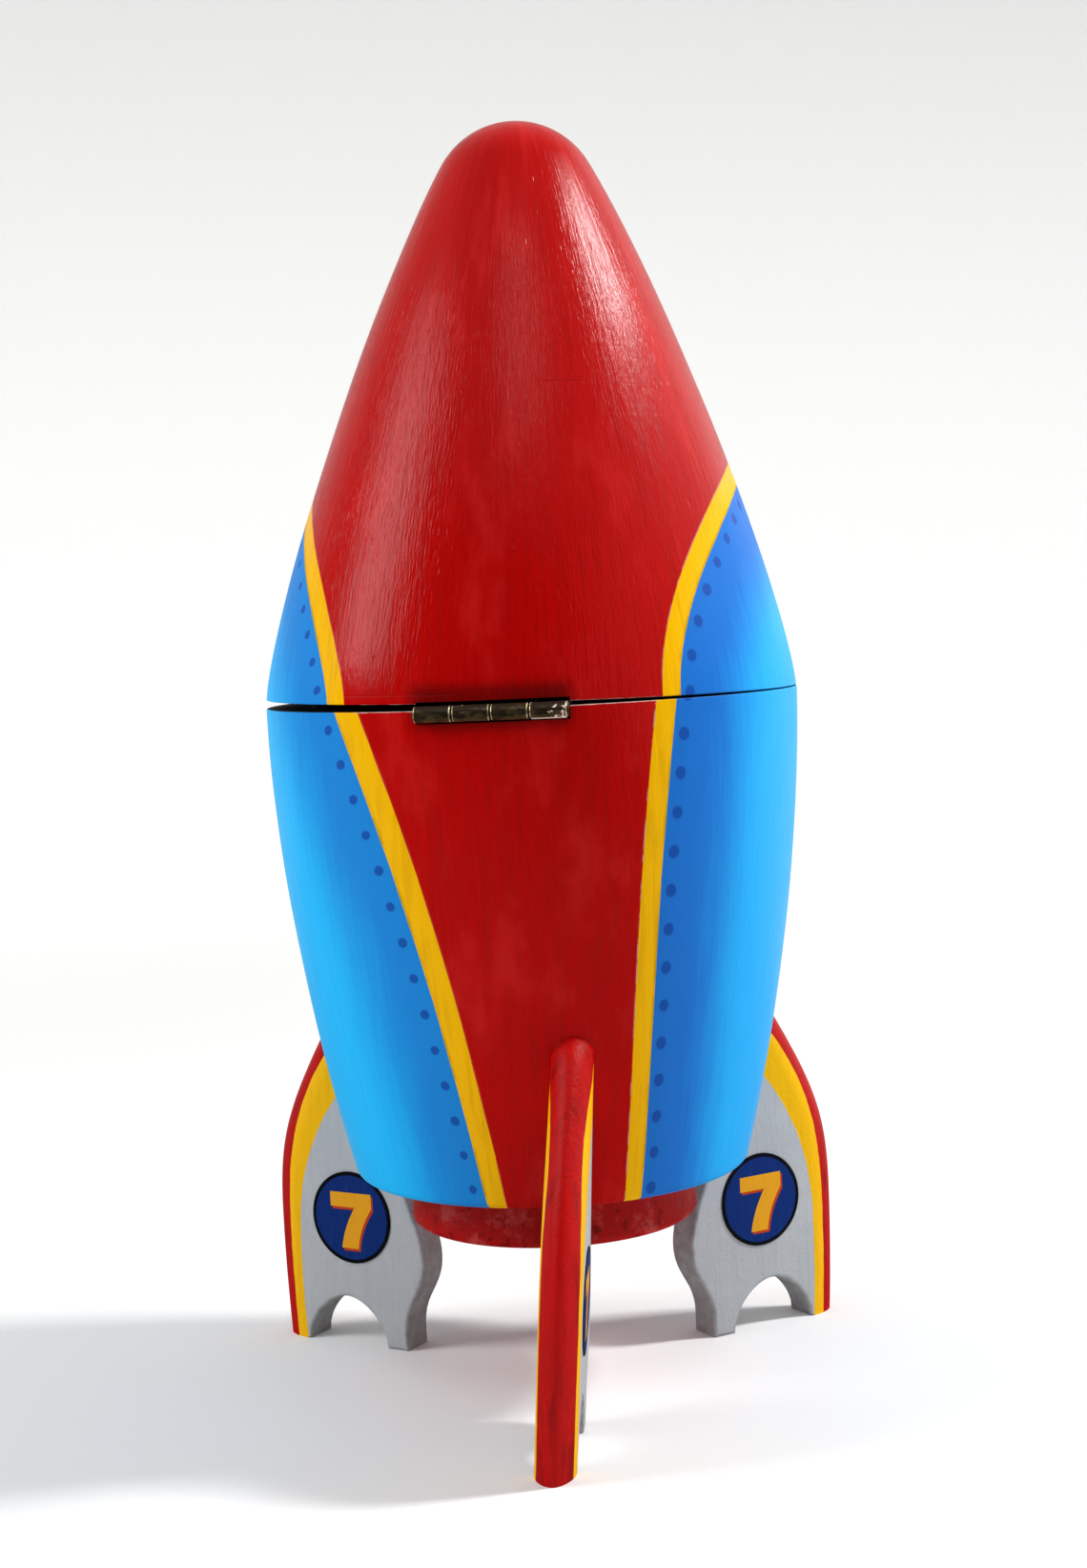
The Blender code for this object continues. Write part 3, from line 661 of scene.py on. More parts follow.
# Stripes on the turned pieces

def panel_on(side):
    """Panel on the right, where side is above zero, or on the left."""
    return PANELS[1 if side > 0 else -1]


def azimuth(point):
    """Degrees round the rocket from the hinge side, positive to the right."""
    return degrees(atan2(point.x, -point.y))


def on_turn(radius, bearing, height):
    angle = radians(bearing)
    return Vector((radius * sin(angle), -radius * cos(angle), height))


def hull_stripe(panel, z):
    """Degrees from the hinge side to the middle of a panel's rear stripe on the hull."""
    share = share_between(z, BASE_Z, RIM_Z)
    return panel["foot"] + panel["lean"] * share + panel["flare"] * share ** 3


def hull_paths():
    """Middle of each stripe on the hull, from the rim down, with its first rivet and their pace."""
    paths = []
    for side, panel in PANELS.items():
        rear, front = [], []
        for z in spread(RIM_Z, BASE_Z, HULL_STRIPE_STEPS):
            bearing = hull_stripe(panel, z)
            rear.append(on_turn(hull_radius(z), side * bearing, z))
            front.append(on_turn(hull_radius(z), side * (180.0 - bearing), z))
        paths += [(rear, panel["hull_rivets"]), (front, panel["hull_rivets"])]
    return paths


def hull_in_blue(point):
    bearing = azimuth(point)
    edge = hull_stripe(panel_on(bearing), point.z)
    return edge < abs(bearing) < 180.0 - edge


def lid_paths():
    """Middle of each arched stripe on the lid, from the rear of its rim over to the front."""
    paths = []
    for side, panel in PANELS.items():
        path = []
        for turn in spread(0.0, pi, LID_STRIPE_STEPS):
            across, rise = arch_point(turn, panel["power"])
            height = panel["rise"] * rise
            path.append(on_turn(lid_radius(height), side * (90.0 - panel["arch"] * across), height))
        paths.append((path, panel["lid_rivets"]))
    return paths


def lid_in_blue(point):
    bearing = azimuth(point)
    panel = panel_on(bearing)
    across = abs(abs(bearing) - 90.0) / panel["arch"]
    return across ** panel["power"] + (max(point.z, 0.0) / panel["rise"]) ** panel["power"] < 1.0


def mark_stripes(mesh, paths, in_blue, halves, low, high):
    """Store how far each point lies from the nearest stripe's middle, below zero in the blue,
    and its place along that stripe, counted in rivets. A panel's two half widths hold at heights
    low and high, and the distance is scaled so that each stripe seems equally wide."""
    known = []
    for path, (first, pace) in paths:
        run = 0.0
        for i, place in enumerate(path):
            way = (path[min(i + 1, len(path) - 1)] - path[max(i - 1, 0)]).normalized()
            run += (place - path[i - 1]).length if i else 0.0
            known.append((place, way, run - first, pace))
    near = tree_of([entry[0] for entry in known])
    across, along = [], []
    for vert in mesh.vertices:
        place, way, run, pace = known[near.find(vert.co)[1]]
        offset = vert.co - place
        ahead = offset.dot(way)
        first, last = panel_on(vert.co.x)[halves]
        half = first + (last - first) * share_between(vert.co.z, low, high)
        distance = (offset - way * ahead).length * STRIPE_HALF / half
        across.append(-distance if in_blue(vert.co) else distance)
        along.append((run + ahead) / pace)
    set_values(mesh, "stripe", across)
    set_values(mesh, "rivet", along)


# Node trees

class Value:
    """Output of a node. Sums, products and the other calls on it make new nodes."""

    def __init__(self, paint, socket):
        self.paint = paint
        self.socket = socket

    def __add__(self, other):
        return self.paint.math('ADD', self, other)

    def __sub__(self, other):
        return self.paint.math('SUBTRACT', self, other)

    def __rsub__(self, other):
        return self.paint.math('SUBTRACT', other, self)

    def __mul__(self, other):
        return self.paint.math('MULTIPLY', self, other)

    def __truediv__(self, other):
        return self.paint.math('DIVIDE', self, other)

    def __abs__(self):
        return self.paint.math('ABSOLUTE', self)

    def split(self):
        """The three parts of a vector or a colour."""
        return self.paint.node("ShaderNodeSeparateXYZ", (0, 1, 2), {0: self})

    def ramp(self, low, high, first=0.0, last=1.0):
        """Smooth step from first at low to last at high."""
        inputs = {"Value": self, "From Min": low, "From Max": high, "To Min": first, "To Max": last}
        return self.paint.node("ShaderNodeMapRange", 0, inputs, interpolation_type='SMOOTHSTEP')

    def mix(self, first, second):
        """First colour with this share of the second."""
        return self.paint.node("ShaderNodeMix", 2, {0: self, 6: first, 7: second}, data_type='RGBA')

    def noise(self, size, detail=2.0, rough=0.5):
        """Noise from 0 to 1 at a place, in patches about as long as size."""
        inputs = {"Vector": self, "Scale": 1.0 / size, "Detail": detail, "Roughness": rough}
        return self.paint.node("ShaderNodeTexNoise", 0, inputs)

    def cells(self, size):
        """Distance from the nearest of scattered points, in shares of size, and a random value for each."""
        inputs = {"Vector": self, "Scale": 1.0 / size}
        distance, colour = self.paint.node("ShaderNodeTexVoronoi", ("Distance", "Color"), inputs)
        return distance, colour.split()[0]


class Paint:
    """A material's node tree, with short calls for the nodes that the finishes share."""

    def __init__(self, name):
        self.material = bpy.data.materials.new(name)
        self.material.use_nodes = True
        self.tree = self.material.node_tree
        self.put("Specular IOR Level", PAINT_SHEEN)

    def lead(self, value, socket):
        """Link a node's output to a socket, or set the socket to a constant."""
        if isinstance(value, Value):
            self.tree.links.new(value.socket, socket)
        else:
            socket.default_value = value

    def put(self, name, value):
        """Give the shader's input a value."""
        self.lead(value, self.tree.nodes["Principled BSDF"].inputs[name])

    def node(self, kind, outputs, inputs, **settings):
        """New node's output, or a list of them where a tuple is asked for."""
        made = self.tree.nodes.new(kind)
        for name, value in settings.items():
            setattr(made, name, value)
        for socket, value in inputs.items():
            self.lead(value, made.inputs[socket])
        if isinstance(outputs, tuple):
            return [Value(self, made.outputs[output]) for output in outputs]
        return Value(self, made.outputs[outputs])

    def attribute(self, name):
        return self.node("ShaderNodeAttribute", "Fac", {}, attribute_name=name)

    def place(self):
        """Place on the piece, in metres, which moves with it."""
        return self.node("ShaderNodeTexCoord", "Object", {})

    def join(self, x, y, z):
        return self.node("ShaderNodeCombineXYZ", 0, {0: x, 1: y, 2: z})

    def math(self, operation, first, second=0.0):
        return self.node("ShaderNodeMath", 0, {0: first, 1: second}, operation=operation)

    def stretched(self, along):
        """Place round a turned piece, drawn out along its height so that noise runs in strokes."""
        x, y, z = self.place().split()
        flat = self.join(x, y, 0.0)
        way = self.node("ShaderNodeVectorMath", 0, {0: flat}, operation='NORMALIZE')
        x, y = way.split()[:2]
        return self.join(x * RIM_RADIUS, y * RIM_RADIUS, z * along)

    def finish(self, colour, roughness, height, depth):
        """Lead colour, roughness and relief to the shader; depth is the relief's height in metres."""
        self.put("Base Color", colour)
        self.put("Roughness", roughness)
        bump = {"Height": height, "Distance": depth, "Strength": 1.0}
        self.put("Normal", self.node("ShaderNodeBump", 0, bump))
        return self.material


def brushed_relief(paint, fine_share):
    """Short brush strokes that run down a turned piece, with shallow dents and small pits in the paint."""
    fine = paint.stretched(0.15).noise(0.42 * MM, 2.0, 0.6)
    broad = paint.stretched(0.08).noise(1.5 * MM)
    dents = paint.stretched(0.35).noise(1.8 * MM, 3.0)
    rings = paint.join(0.0, 0.0, paint.place().split()[2]).noise(0.7 * MM)
    gap, chance = paint.stretched(0.4).cells(2.0 * MM)
    pit = gap.ramp(0.2, 0.08) * chance.ramp(0.8, 0.84)
    return fine * fine_share + broad * 0.8 + dents * 0.6 + rings * 0.1 - pit * 0.6


def red_paint(strokes):
    """Red with streaks where the coat lies thicker or thinner."""
    return strokes.ramp(0.3, 0.75).mix(RED, DEEP_RED)


def blue_paint(paint, stripe, strokes, wobble, on_right):
    """Airbrushed blue, deeper beside its stripe, with a row of dabbed rivets. Its light blue has one copy for
    each side, painted light for how differently the two panels are lit.
    """
    cloud = paint.stretched(0.3).noise(7.0 * MM, 3.0)
    fade = stripe + cloud * BLUE_CLOUD + strokes * BLUE_STROKE + on_right * BLUE_RIGHT_SHIFT
    depth = fade.ramp(*BLUE_FADE)
    streaks = strokes.ramp(0.35, 0.75, 0.0, 0.1)
    deep = on_right.mix(DEEP_BLUE_LEFT, DEEP_BLUE_RIGHT)
    # Painted light: the light blue is mixed from its left and right copies, which stand in for how each side
    # is lit
    light = on_right.mix(LIGHT_BLUE_PAINTED_LIT_LEFT, LIGHT_BLUE_PAINTED_LIT_RIGHT)
    blue = (depth + streaks).mix(light, deep)
    rivet = paint.attribute("rivet")
    ahead = (rivet - paint.math('ROUND', rivet)) * RIVET_MEAN_PACE
    aside = stripe + (STRIPE_HALF + RIVET_OFFSET)
    reach = paint.math('SQRT', ahead * ahead + aside * aside) + wobble * RIVET_WOBBLE
    size = on_right.ramp(0.0, 1.0, RIVET_RADIUS_LEFT, RIVET_RADIUS_RIGHT)
    dab = (reach / size).ramp(1.15, 0.85, 0.0, 0.85)
    return dab.mix(blue, RIVET_BLUE)


def stripe_paint(paint, stripe, patchy):
    """Yellow, thin in streaks, that turns olive where it overlaps the blue."""
    thin = paint.stretched(0.1).noise(1.1 * MM, 3.0).ramp(0.45, 0.8, 0.0, 0.6)
    yellow = thin.mix(YELLOW, DULL_YELLOW)
    rim = stripe.ramp(*OLIVE_RIM)
    return (rim * patchy.ramp(0.4, 0.6, 0.1, 0.7)).mix(yellow, OLIVE)


def body_paint(name, rim_height, wear, scores, fade_from=None):
    """Red gores, yellow stripes and blue panels. Wear is how much primer shows along the joint, each score
    is the height and the two ends of a knife mark, and fine strokes fade above a height if one is given."""
    paint = Paint(name)
    place = paint.place()
    x, y, z = place.split()
    wobble = place.noise(9.0 * MM, 3.0, 0.55) - 0.5
    stripe = paint.attribute("stripe") + wobble * STRIPE_WOBBLE
    strokes = paint.stretched(0.06).noise(0.8 * MM, 4.0, 0.6)
    patchy = place.noise(9.0 * MM, 4.0, 0.7)
    on_right = x.ramp(-SIDE_BLEND, SIDE_BLEND)
    in_yellow = stripe.ramp(-STRIPE_HALF - PAINT_EDGE, -STRIPE_HALF + PAINT_EDGE)
    in_red = stripe.ramp(STRIPE_HALF - PAINT_EDGE, STRIPE_HALF + PAINT_EDGE)

    thinly = paint.stretched(0.5).noise(11.0 * MM, 5.0, 0.65)
    red = thinly.ramp(0.48, 0.72, 0.0, 0.75).mix(red_paint(strokes), THIN_RED)
    blue = blue_paint(paint, stripe, strokes, wobble, on_right)
    yellow = stripe_paint(paint, stripe, patchy)
    colour = in_red.mix(in_yellow.mix(blue, yellow), red)

    # Primer along the red's edge, painted shade darkening the red beside the hinge's recess, and primer along
    # the joint
    chalk = paint.math('MAXIMUM', 1.0 - abs(stripe - CHALK_OFFSET) / CHALK_HALF, 0.0)
    chalk = chalk * on_right.ramp(0.5, 1.0, 0.1, 0.75 * wear) * patchy.ramp(0.42, 0.55)
    colour = chalk.mix(colour, PRIMER)
    lip = abs(z - rim_height)
    # Painted shade: the red darkens near the hinge's recess, above and below the joint
    by_hinge = abs(x - HINGE_PLACE.x).ramp(*HINGE_SHADE_BESIDE) * y.ramp(*HINGE_SHADE_REAR)
    dirt_and_shade = by_hinge * lip.ramp(*HINGE_SHADE_HEIGHT, 0.0, 0.6)
    colour = dirt_and_shade.mix(colour, DIRT_AND_SHADE_RED)
    ragged = place.noise(1.6 * MM, 4.0, 0.65) * (RAGGED_WEAR * wear)
    worn = (lip - ragged).ramp(*WORN_EDGE)
    worn = worn * (patchy + on_right * 0.2).ramp(0.46, 0.54)
    worn = worn * stripe.ramp(STRIPE_HALF * 0.5, STRIPE_HALF, 0.0, 0.9)
    colour = worn.mix(colour, PRIMER)

    gloss = stripe.ramp(-STRIPE_HALF, STRIPE_HALF, 0.42, 0.19)
    gloss = gloss + strokes.ramp(0.3, 0.8, -0.03, 0.06)
    sheen = in_yellow.ramp(0.0, 1.0, BLUE_SHEEN, YELLOW_SHEEN)
    paint.put("Specular IOR Level", sheen + in_red * (PAINT_SHEEN - YELLOW_SHEEN))
    quiet = stripe.ramp(-STRIPE_HALF, STRIPE_HALF, 0.4, 1.0)
    fine_share = z.ramp(fade_from, LID_HEIGHT, 1.0, 0.2) if fade_from else 1.0
    relief = brushed_relief(paint, fine_share) * quiet
    on_hinge_side = in_red * y.ramp(0.0, -SCORE_RUN_OUT)
    for height, start, end in scores:
        mark = abs(z - height).ramp(*SCORE_SIDES)
        mark = mark * x.ramp(start - SCORE_RUN_OUT, start) * x.ramp(end + SCORE_RUN_OUT, end)
        relief = relief - mark * on_hinge_side
    return paint.finish(colour, gloss, relief, BODY_RELIEF)


def dark_inside():
    """Charcoal paint rubbed thin over the turned wood inside."""
    paint = Paint("dark_inside")
    x, y, z = paint.place().split()
    rings = paint.join(x * 0.2, y * 0.2, z).noise(1.2 * MM, 4.0)
    colour = rings.ramp(0.45, 0.85, 0.0, 0.5).mix(CHARCOAL, RUBBED_CHARCOAL)
    return paint.finish(colour, rings.ramp(0.3, 0.8, 0.5, 0.7), rings, INSIDE_RELIEF)


def nozzle_paint():
    """Red paint scuffed pale on the nozzle's edge."""
    paint = Paint("nozzle_paint")
    place = paint.place()
    strokes = paint.stretched(0.4).noise(1.5 * MM, 4.0, 0.65)
    scuff = place.noise(7.0 * MM, 6.0, 0.75).ramp(0.5, 0.66, 0.0, 0.6)
    colour = scuff.mix(red_paint(strokes), SCUFFED_RED)
    dents = place.noise(1.6 * MM, 4.0, 0.65).ramp(0.56, 0.68, 0.0, 0.6)
    colour = dents.mix(colour, DIRT_AND_SHADE_RED)
    return paint.finish(colour, strokes.ramp(0.3, 0.8, 0.34, 0.5), strokes - dents, NOZZLE_RELIEF)


def fin_paint():
    """Grey board with a yellow line and a red outer edge, dirty along its cut edges."""
    paint = Paint("fin_paint")
    place = paint.place()
    x, y, z = place.split()
    wobble = (place.noise(5.0 * MM, 3.0, 0.6) - 0.5) * FIN_WOBBLE
    in_red = (paint.attribute("red_edge") + wobble).ramp(-PAINT_EDGE, PAINT_EDGE)
    in_yellow = (paint.attribute("yellow_edge") + wobble).ramp(-PAINT_EDGE, PAINT_EDGE)
    grain = paint.join(x, y, z * 0.08).noise(0.8 * MM, 4.0, 0.65)
    cloud = place.noise(9.0 * MM, 4.0, 0.6)
    grey = grain.ramp(0.35, 0.8, 0.0, 0.25).mix(GREY, DULL_GREY)
    grey = cloud.ramp(0.45, 0.75, 0.0, 0.4).mix(grey, PALE_GREY)
    dirt_and_shade = place.noise(2.6 * MM, 5.0, 0.7) * FIN_GRIME_REACH - paint.attribute("rim")
    grey = dirt_and_shade.ramp(*FIN_GRIME, 0.0, 0.75).mix(grey, DIRTY_GREY)
    red = red_paint(paint.join(x, y, z * 0.1).noise(1.3 * MM, 4.0, 0.6))
    streak = paint.join(x, y, z * 0.2).noise(3.0 * MM, 4.0, 0.65)
    red = streak.ramp(0.5, 0.72, 0.0, 0.45).mix(red, DIRT_AND_SHADE_RED)
    yellow = grain.ramp(0.45, 0.85, 0.0, 0.5).mix(YELLOW, DULL_YELLOW)
    colour = in_red.mix(in_yellow.mix(grey, yellow), red)
    pebbled = grain + place.noise(0.6 * MM, 3.0, 0.6) * 1.5
    return paint.finish(colour, in_red.ramp(0.0, 1.0, 0.5, 0.44), pebbled, FIN_RELIEF)


def print_ink(name, ink, thin_ink):
    """Printed paper under thin varnish, with faint streaks and specks of wear."""
    paint = Paint(name)
    x, y, z = paint.place().split()
    streaks = paint.join(x, y, z * 0.15).noise(0.7 * MM, 4.0, 0.65)
    specks = paint.place().noise(0.5 * MM).ramp(0.72, 0.8, 0.0, 0.4)
    share = paint.math('MAXIMUM', streaks.ramp(0.5, 0.8, 0.0, 0.35), specks)
    colour = share.mix(ink, thin_ink)
    return paint.finish(colour, streaks.ramp(0.3, 0.8, 0.38, 0.5), streaks, PRINT_RELIEF)


def old_brass(name, splashed):
    """Browned brass, painted lighter towards its underside as a reflection of the white floor. If splashed,
    it has pale paint flecks and a pale line below at one end.
    """
    paint = Paint(name)
    place = paint.place()
    x, y, z = place.split()
    patches = paint.join(x * 0.4, y, z).noise(1.1 * MM, 4.0, 0.6)
    scratches = paint.join(x * 0.06, y, z).noise(0.16 * MM)
    # Painted reflection: lighter brass towards the knuckles' underside, darker on top
    low = z.ramp(*BRASS_PAINTED_REFLECTION_BELOW, -0.12, 0.12)
    colour = (patches + low).ramp(0.4, 0.7).mix(PATINA, DARK_BRASS)
    colour = scratches.ramp(0.64, 0.74, 0.0, 0.7).mix(colour, BRIGHT_BRASS)
    roughness = patches.ramp(0.35, 0.7, 0.46, 0.3)
    metallic = BRASS_METAL
    if splashed:
        end = x.ramp(*FLECKED_END, 0.0, 0.14)
        fleck = (place.noise(0.8 * MM) + end).ramp(0.71, 0.74)
        under = z.ramp(*PALE_LINE_Z) * x.ramp(*PALE_LINE_X)
        fleck = paint.math('MAXIMUM', fleck, under)
        colour = fleck.mix(colour, PRIMER)
        roughness = roughness + fleck * 0.2
        metallic = fleck.ramp(0.0, 1.0, BRASS_METAL, 0.0)
    paint.put("Metallic", metallic)
    return paint.finish(colour, roughness, patches + scratches, BRASS_RELIEF)


def worn_and_highlight_brass():
    """Bright brass where the hinge's edges rub, pale and only partly metallic, so the knuckles' ends also
    carry a painted highlight.
    """
    paint = Paint("worn_and_highlight_brass")
    patches = paint.place().noise(0.8 * MM, 3.0)
    colour = patches.ramp(0.35, 0.6).mix(DARK_BRASS, WORN_AND_HIGHLIGHT_BRASS)
    paint.put("Metallic", RUBBED_METAL)
    return paint.finish(colour, patches.ramp(0.3, 0.7, 0.4, 0.25), patches, RUBBED_RELIEF)


def bare_wood():
    """Beech dowel with fine grain."""
    paint = Paint("bare_wood")
    grain = paint.place().noise(0.6 * MM, 4.0, 0.6)
    colour = grain.ramp(0.35, 0.75).mix(BEECH, BEECH_GRAIN)
    return paint.finish(colour, grain.ramp(0.3, 0.8, 0.6, 0.8), grain, WOOD_RELIEF)


# Pieces

def put_on(made, body, slot, *nodes):
    """Let a piece ride on a body in place of CAD nodes; slot is not used."""
    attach(made, body)
    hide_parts(*nodes)


def paint_turned(made, outer_radius, skin, inside):
    """Give outer faces the skin and all other faces the inside finish."""
    coat(made, skin, inside)
    for face in made.data.polygons:
        reach = Vector((face.center.x, face.center.y)).length
        deep = reach < outer_radius(face.center.z) - SKIN_DEPTH
        face.material_index = 1 if deep else 0


def make_hull(inside):
    shape = turned(hull_outline())
    sand(shape, seed=0.0)
    hull = solid("painted_hull", shape, AXIS)
    cut_box(hull, (-MORTISE_HALF, -CUT_MARGIN, -MORTISE_BELOW), (MORTISE_HALF, MORTISE_DEPTH, CUT_MARGIN))
    mark_stripes(hull.data, hull_paths(), hull_in_blue, "hull_halves", BASE_Z, RIM_Z)
    skin = body_paint("hull_paint", RIM_Z, HULL_WEAR, HULL_SCORES)
    paint_turned(hull, lambda z: hull_radius(z) if z > BASE_Z + HULL_EDGE_ROUND else 0.0, skin, inside)
    smooth(hull)
    put_on(hull, "hull", "hull_paint", "lower_hull")
    return skin


def lid_place():
    low_side = Matrix.Translation((LID_RIM_RADIUS, 0.0, RIM_Z + LID_GAP))
    tilt = Matrix.Rotation(LID_TILT, 4, 'Y')
    return AXIS @ low_side @ tilt @ Matrix.Translation((-LID_RIM_RADIUS, 0.0, 0.0))


def make_lid(inside):
    shape = turned(lid_outline())
    sand(shape, seed=3.0)
    lid = solid("nose_cone", shape, lid_place())
    cut_box(lid, (-MORTISE_HALF, -CUT_MARGIN, -CUT_MARGIN), (MORTISE_HALF, MORTISE_DEPTH, MORTISE_ABOVE))
    chip_end = MORTISE_HALF + CHIP_LENGTH
    cut_box(lid, (0.0, -CUT_MARGIN, -CUT_MARGIN), (chip_end, MORTISE_DEPTH / 2, CHIP_TOP))
    mark_stripes(lid.data, lid_paths(), lid_in_blue, "lid_halves", 0.0, PANELS[1]["rise"])
    skin = body_paint("lid_paint", 0.0, LID_WEAR, LID_SCORES, LID_FADE_FROM)
    paint_turned(lid, lid_radius, skin, inside)
    smooth(lid)
    put_on(lid, "lid", "lid_paint", "nose_lid")


def make_nozzle():
    shape = turned(nozzle_outline(), COARSE_SEGMENTS)
    sand(shape, seed=6.0)
    nozzle = solid("nozzle_ring", shape, AXIS)
    coat(nozzle, nozzle_paint())
    smooth(nozzle)
    put_on(nozzle, "hull", "nozzle_paint", "engine_nozzle")


def section_depth(across, on_ridge):
    """How far a fin's edge falls back at a share of its half thickness from the middle."""
    if on_ridge:
        return FIN_RIDGE_DEPTH * (1.0 - (1.0 - abs(across) ** FIN_RIDGE_POWER) ** (1.0 / FIN_RIDGE_POWER))
    past = abs(across) * FIN_THICKNESS / 2 - FIN_THICKNESS / 2 + FIN_EDGE_ROUND
    if past <= 0.0:
        return 0.0
    return FIN_EDGE_ROUND - sqrt(max(FIN_EDGE_ROUND ** 2 - past ** 2, 0.0))


def inward_ways(points, ridge_count):
    """Unit way into the board at each point of a fin's outline."""
    ways = []
    for i in range(len(points)):
        if i == ridge_count - 1:
            ways.append(Vector((-1.0, 0.0)))
            continue
        before = points[i - 1] if i else points[0]
        along = points[(i + 1) % len(points)] - before
        ways.append(Vector((along.y, -along.x)).normalized())
    return ways


def filled(loop):
    """Points and triangles of a flat outline filled with an even grid."""
    lows = [min(point[axis] for point in loop) for axis in (0, 1)]
    highs = [max(point[axis] for point in loop) for axis in (0, 1)]
    points = list(loop)
    for i in range(int((highs[0] - lows[0]) / FIN_GRID)):
        for j in range(int((highs[1] - lows[1]) / FIN_GRID)):
            points.append(Vector((lows[0] + (i + 0.5) * FIN_GRID, lows[1] + (j + 0.5) * FIN_GRID)))
    scaled = [point / FIN_GRID for point in points]
    made = delaunay_2d_cdt(scaled, [], [list(range(len(loop)))], FILL_INSIDE, FILL_MERGE)
    return [point * FIN_GRID for point in made[0]], made[2]


def fin_loop(share):
    """Outline of a fin at a share of its half thickness, with the ridge's points first."""
    ridge = fin_ridge()
    points = ridge + fin_rest()
    loop = []
    for i, (point, way) in enumerate(zip(points, inward_ways(points, len(ridge)))):
        depth = section_depth(share, i < len(ridge))
        if i < len(ridge):
            depth *= 1.0 - FIN_BLUNT * share_between(point.y, FIN_BLUNT_Z, FIN_TOP_CAP_Z) ** 2
        loop.append(point + way * depth)
    return loop


def fin_shape():
    """Fin as outlines side by side, with filled faces on both sides."""
    half = FIN_THICKNESS / 2
    shape = bmesh.new()
    loops = []
    for turn in spread(-pi / 2, pi / 2, FIN_SECTION_STEPS):
        share = sin(turn)
        loops.append([shape.verts.new((share * half, -point.x, point.y)) for point in fin_loop(share)])
    bridge(shape, loops)
    verts, faces = filled([Vector((-vert.co.y, vert.co.z)) for vert in loops[0]])
    for side in (-half, half):
        made = [shape.verts.new((side, -point.x, point.y)) for point in verts]
        for face in faces:
            shape.faces.new([made[i] for i in face])
    bmesh.ops.remove_doubles(shape, verts=shape.verts, dist=WELD)
    bmesh.ops.delete(shape, geom=[vert for vert in shape.verts if not vert.link_faces], context='VERTS')
    return shape


def paint_reach(edge, z):
    """Reach of a painted edge on a fin's face at height z."""
    above = max(z - edge["shoulder"], 0.0) / edge["height"]
    below = max(edge["shoulder"] - z, 0.0) / edge["shoulder"]
    return edge["reach"] - edge["draw"] * above ** edge["power"] - FOOT_DRAW * below ** 2


def mark_fin(mesh, side):
    """Store the distances that a fin's paint follows, before the fin leans."""
    near = tree_of([point.to_3d() for point in fin_rest() if point.y < BASE_Z])
    reds, yellows, rims = [], [], []
    for vert in mesh.vertices:
        reach, z = -vert.co.y, vert.co.z
        lift = RED_EDGE_LIFTS[side] * share_between(z, FIN_SHOULDER_Z, FIN_TOP_Z) ** 2
        reds.append(reach - paint_reach(RED_EDGE, z) - lift)
        yellows.append(reach - paint_reach(YELLOW_EDGE, z))
        rims.append(near.find((reach, z, 0.0))[2])
    set_values(mesh, "red_edge", reds)
    set_values(mesh, "yellow_edge", yellows)
    set_values(mesh, "rim", rims)


def side_shift(fin_set, reach, z):
    """How far a point of a fin lies to the side, where the fin leans and is twisted."""
    lean, twist = fin_set
    return lean * (z - LEAN_PIVOT_Z) + twist * (TWIST_PIVOT_REACH - reach)


def set_on_hull(mesh, side):
    """Shear a fin's piece so that it leans and twists, and turn it to its side of the hull."""
    for vert in mesh.vertices:
        vert.co.x += side_shift(FIN_SETS[side], -vert.co.y, vert.co.z)
    mesh.transform(Matrix.Rotation(radians(FIN_TURNS[side]), 4, 'Z'))


def hull_space():
    """Solid that the hull fills, grown by the fins' seat."""
    grow = Vector((FIN_SEAT, 0.0))
    outline = [Vector((0.0, BASE_Z))] + [point + grow for point in hull_side(steps=40)]
    return turned(outline + [Vector((0.0, outline[-1].y))], COARSE_SEGMENTS)


def make_fins(hull_skin):
    material = fin_paint()
    inks = [print_ink(name, *colours) for name, colours in INKS.items()]
    for side in FIN_TURNS:
        mesh = to_mesh(f"{side}_fin", fin_shape())
        mark_fin(mesh, side)
        set_on_hull(mesh, side)
        make_filler(side, mesh, hull_skin)
        fin = new_object(f"{side}_fin", mesh, AXIS)
        cut(fin, hull_space(), AXIS)
        fin.data.materials.clear()
        coat(fin, material)
        smooth(fin)
        put_on(fin, "hull", "fin_paint", f"fin_{side}")
        for face, way in (("a", -1), ("b", 1)):
            make_disc(side, face, way, inks)


def root_top(share):
    """Height at which a fin's ridge comes out of the hull, at a share of its half thickness."""
    loop = fin_loop(share)
    for low, high in zip(loop, loop[1:]):
        inside = max(hull_radius(low.y) - low.x, 0.0)
        outside = high.x - hull_radius(high.y)
        if outside > 0.0:
            return low.lerp(high, inside / (inside + outside)).y
    return FIN_TOP_Z


def filler_path(side):
    """Line where a fin meets the hull: up one face, over its rounded top and down the other.
    Each point comes with how near it is to the top, from 0 to 1."""
    half = FIN_THICKNESS / 2
    low = BASE_Z + HULL_EDGE_ROUND
    top = root_top(0.0)
    corner = root_top(1.0)
    path = [(-half, z, 0.0) for z in spread(low, corner, steps=20)[:-1]]
    for turn in spread(-pi / 2, pi / 2, steps=40):
        z = root_top(sin(turn))
        path.append((sin(turn) * half, z, (z - corner) / (top - corner)))
    path += [(half, z, 0.0) for z in spread(corner, low, steps=20)[1:]]
    turn = Matrix.Rotation(radians(FIN_TURNS[side]), 3, 'Z')
    points = []
    for across, z, rise in path:
        x = across + side_shift(FIN_SETS[side], hull_radius(z), z)
        points.append((turn @ Vector((x, -sqrt(hull_radius(z) ** 2 - x * x), z)), rise))
    return points


def on_hull(point):
    """Point on the hull's surface at the same side and height."""
    flat = Vector((point.x, point.y, 0.0)).normalized() * hull_radius(point.z)
    return Vector((flat.x, flat.y, point.z))


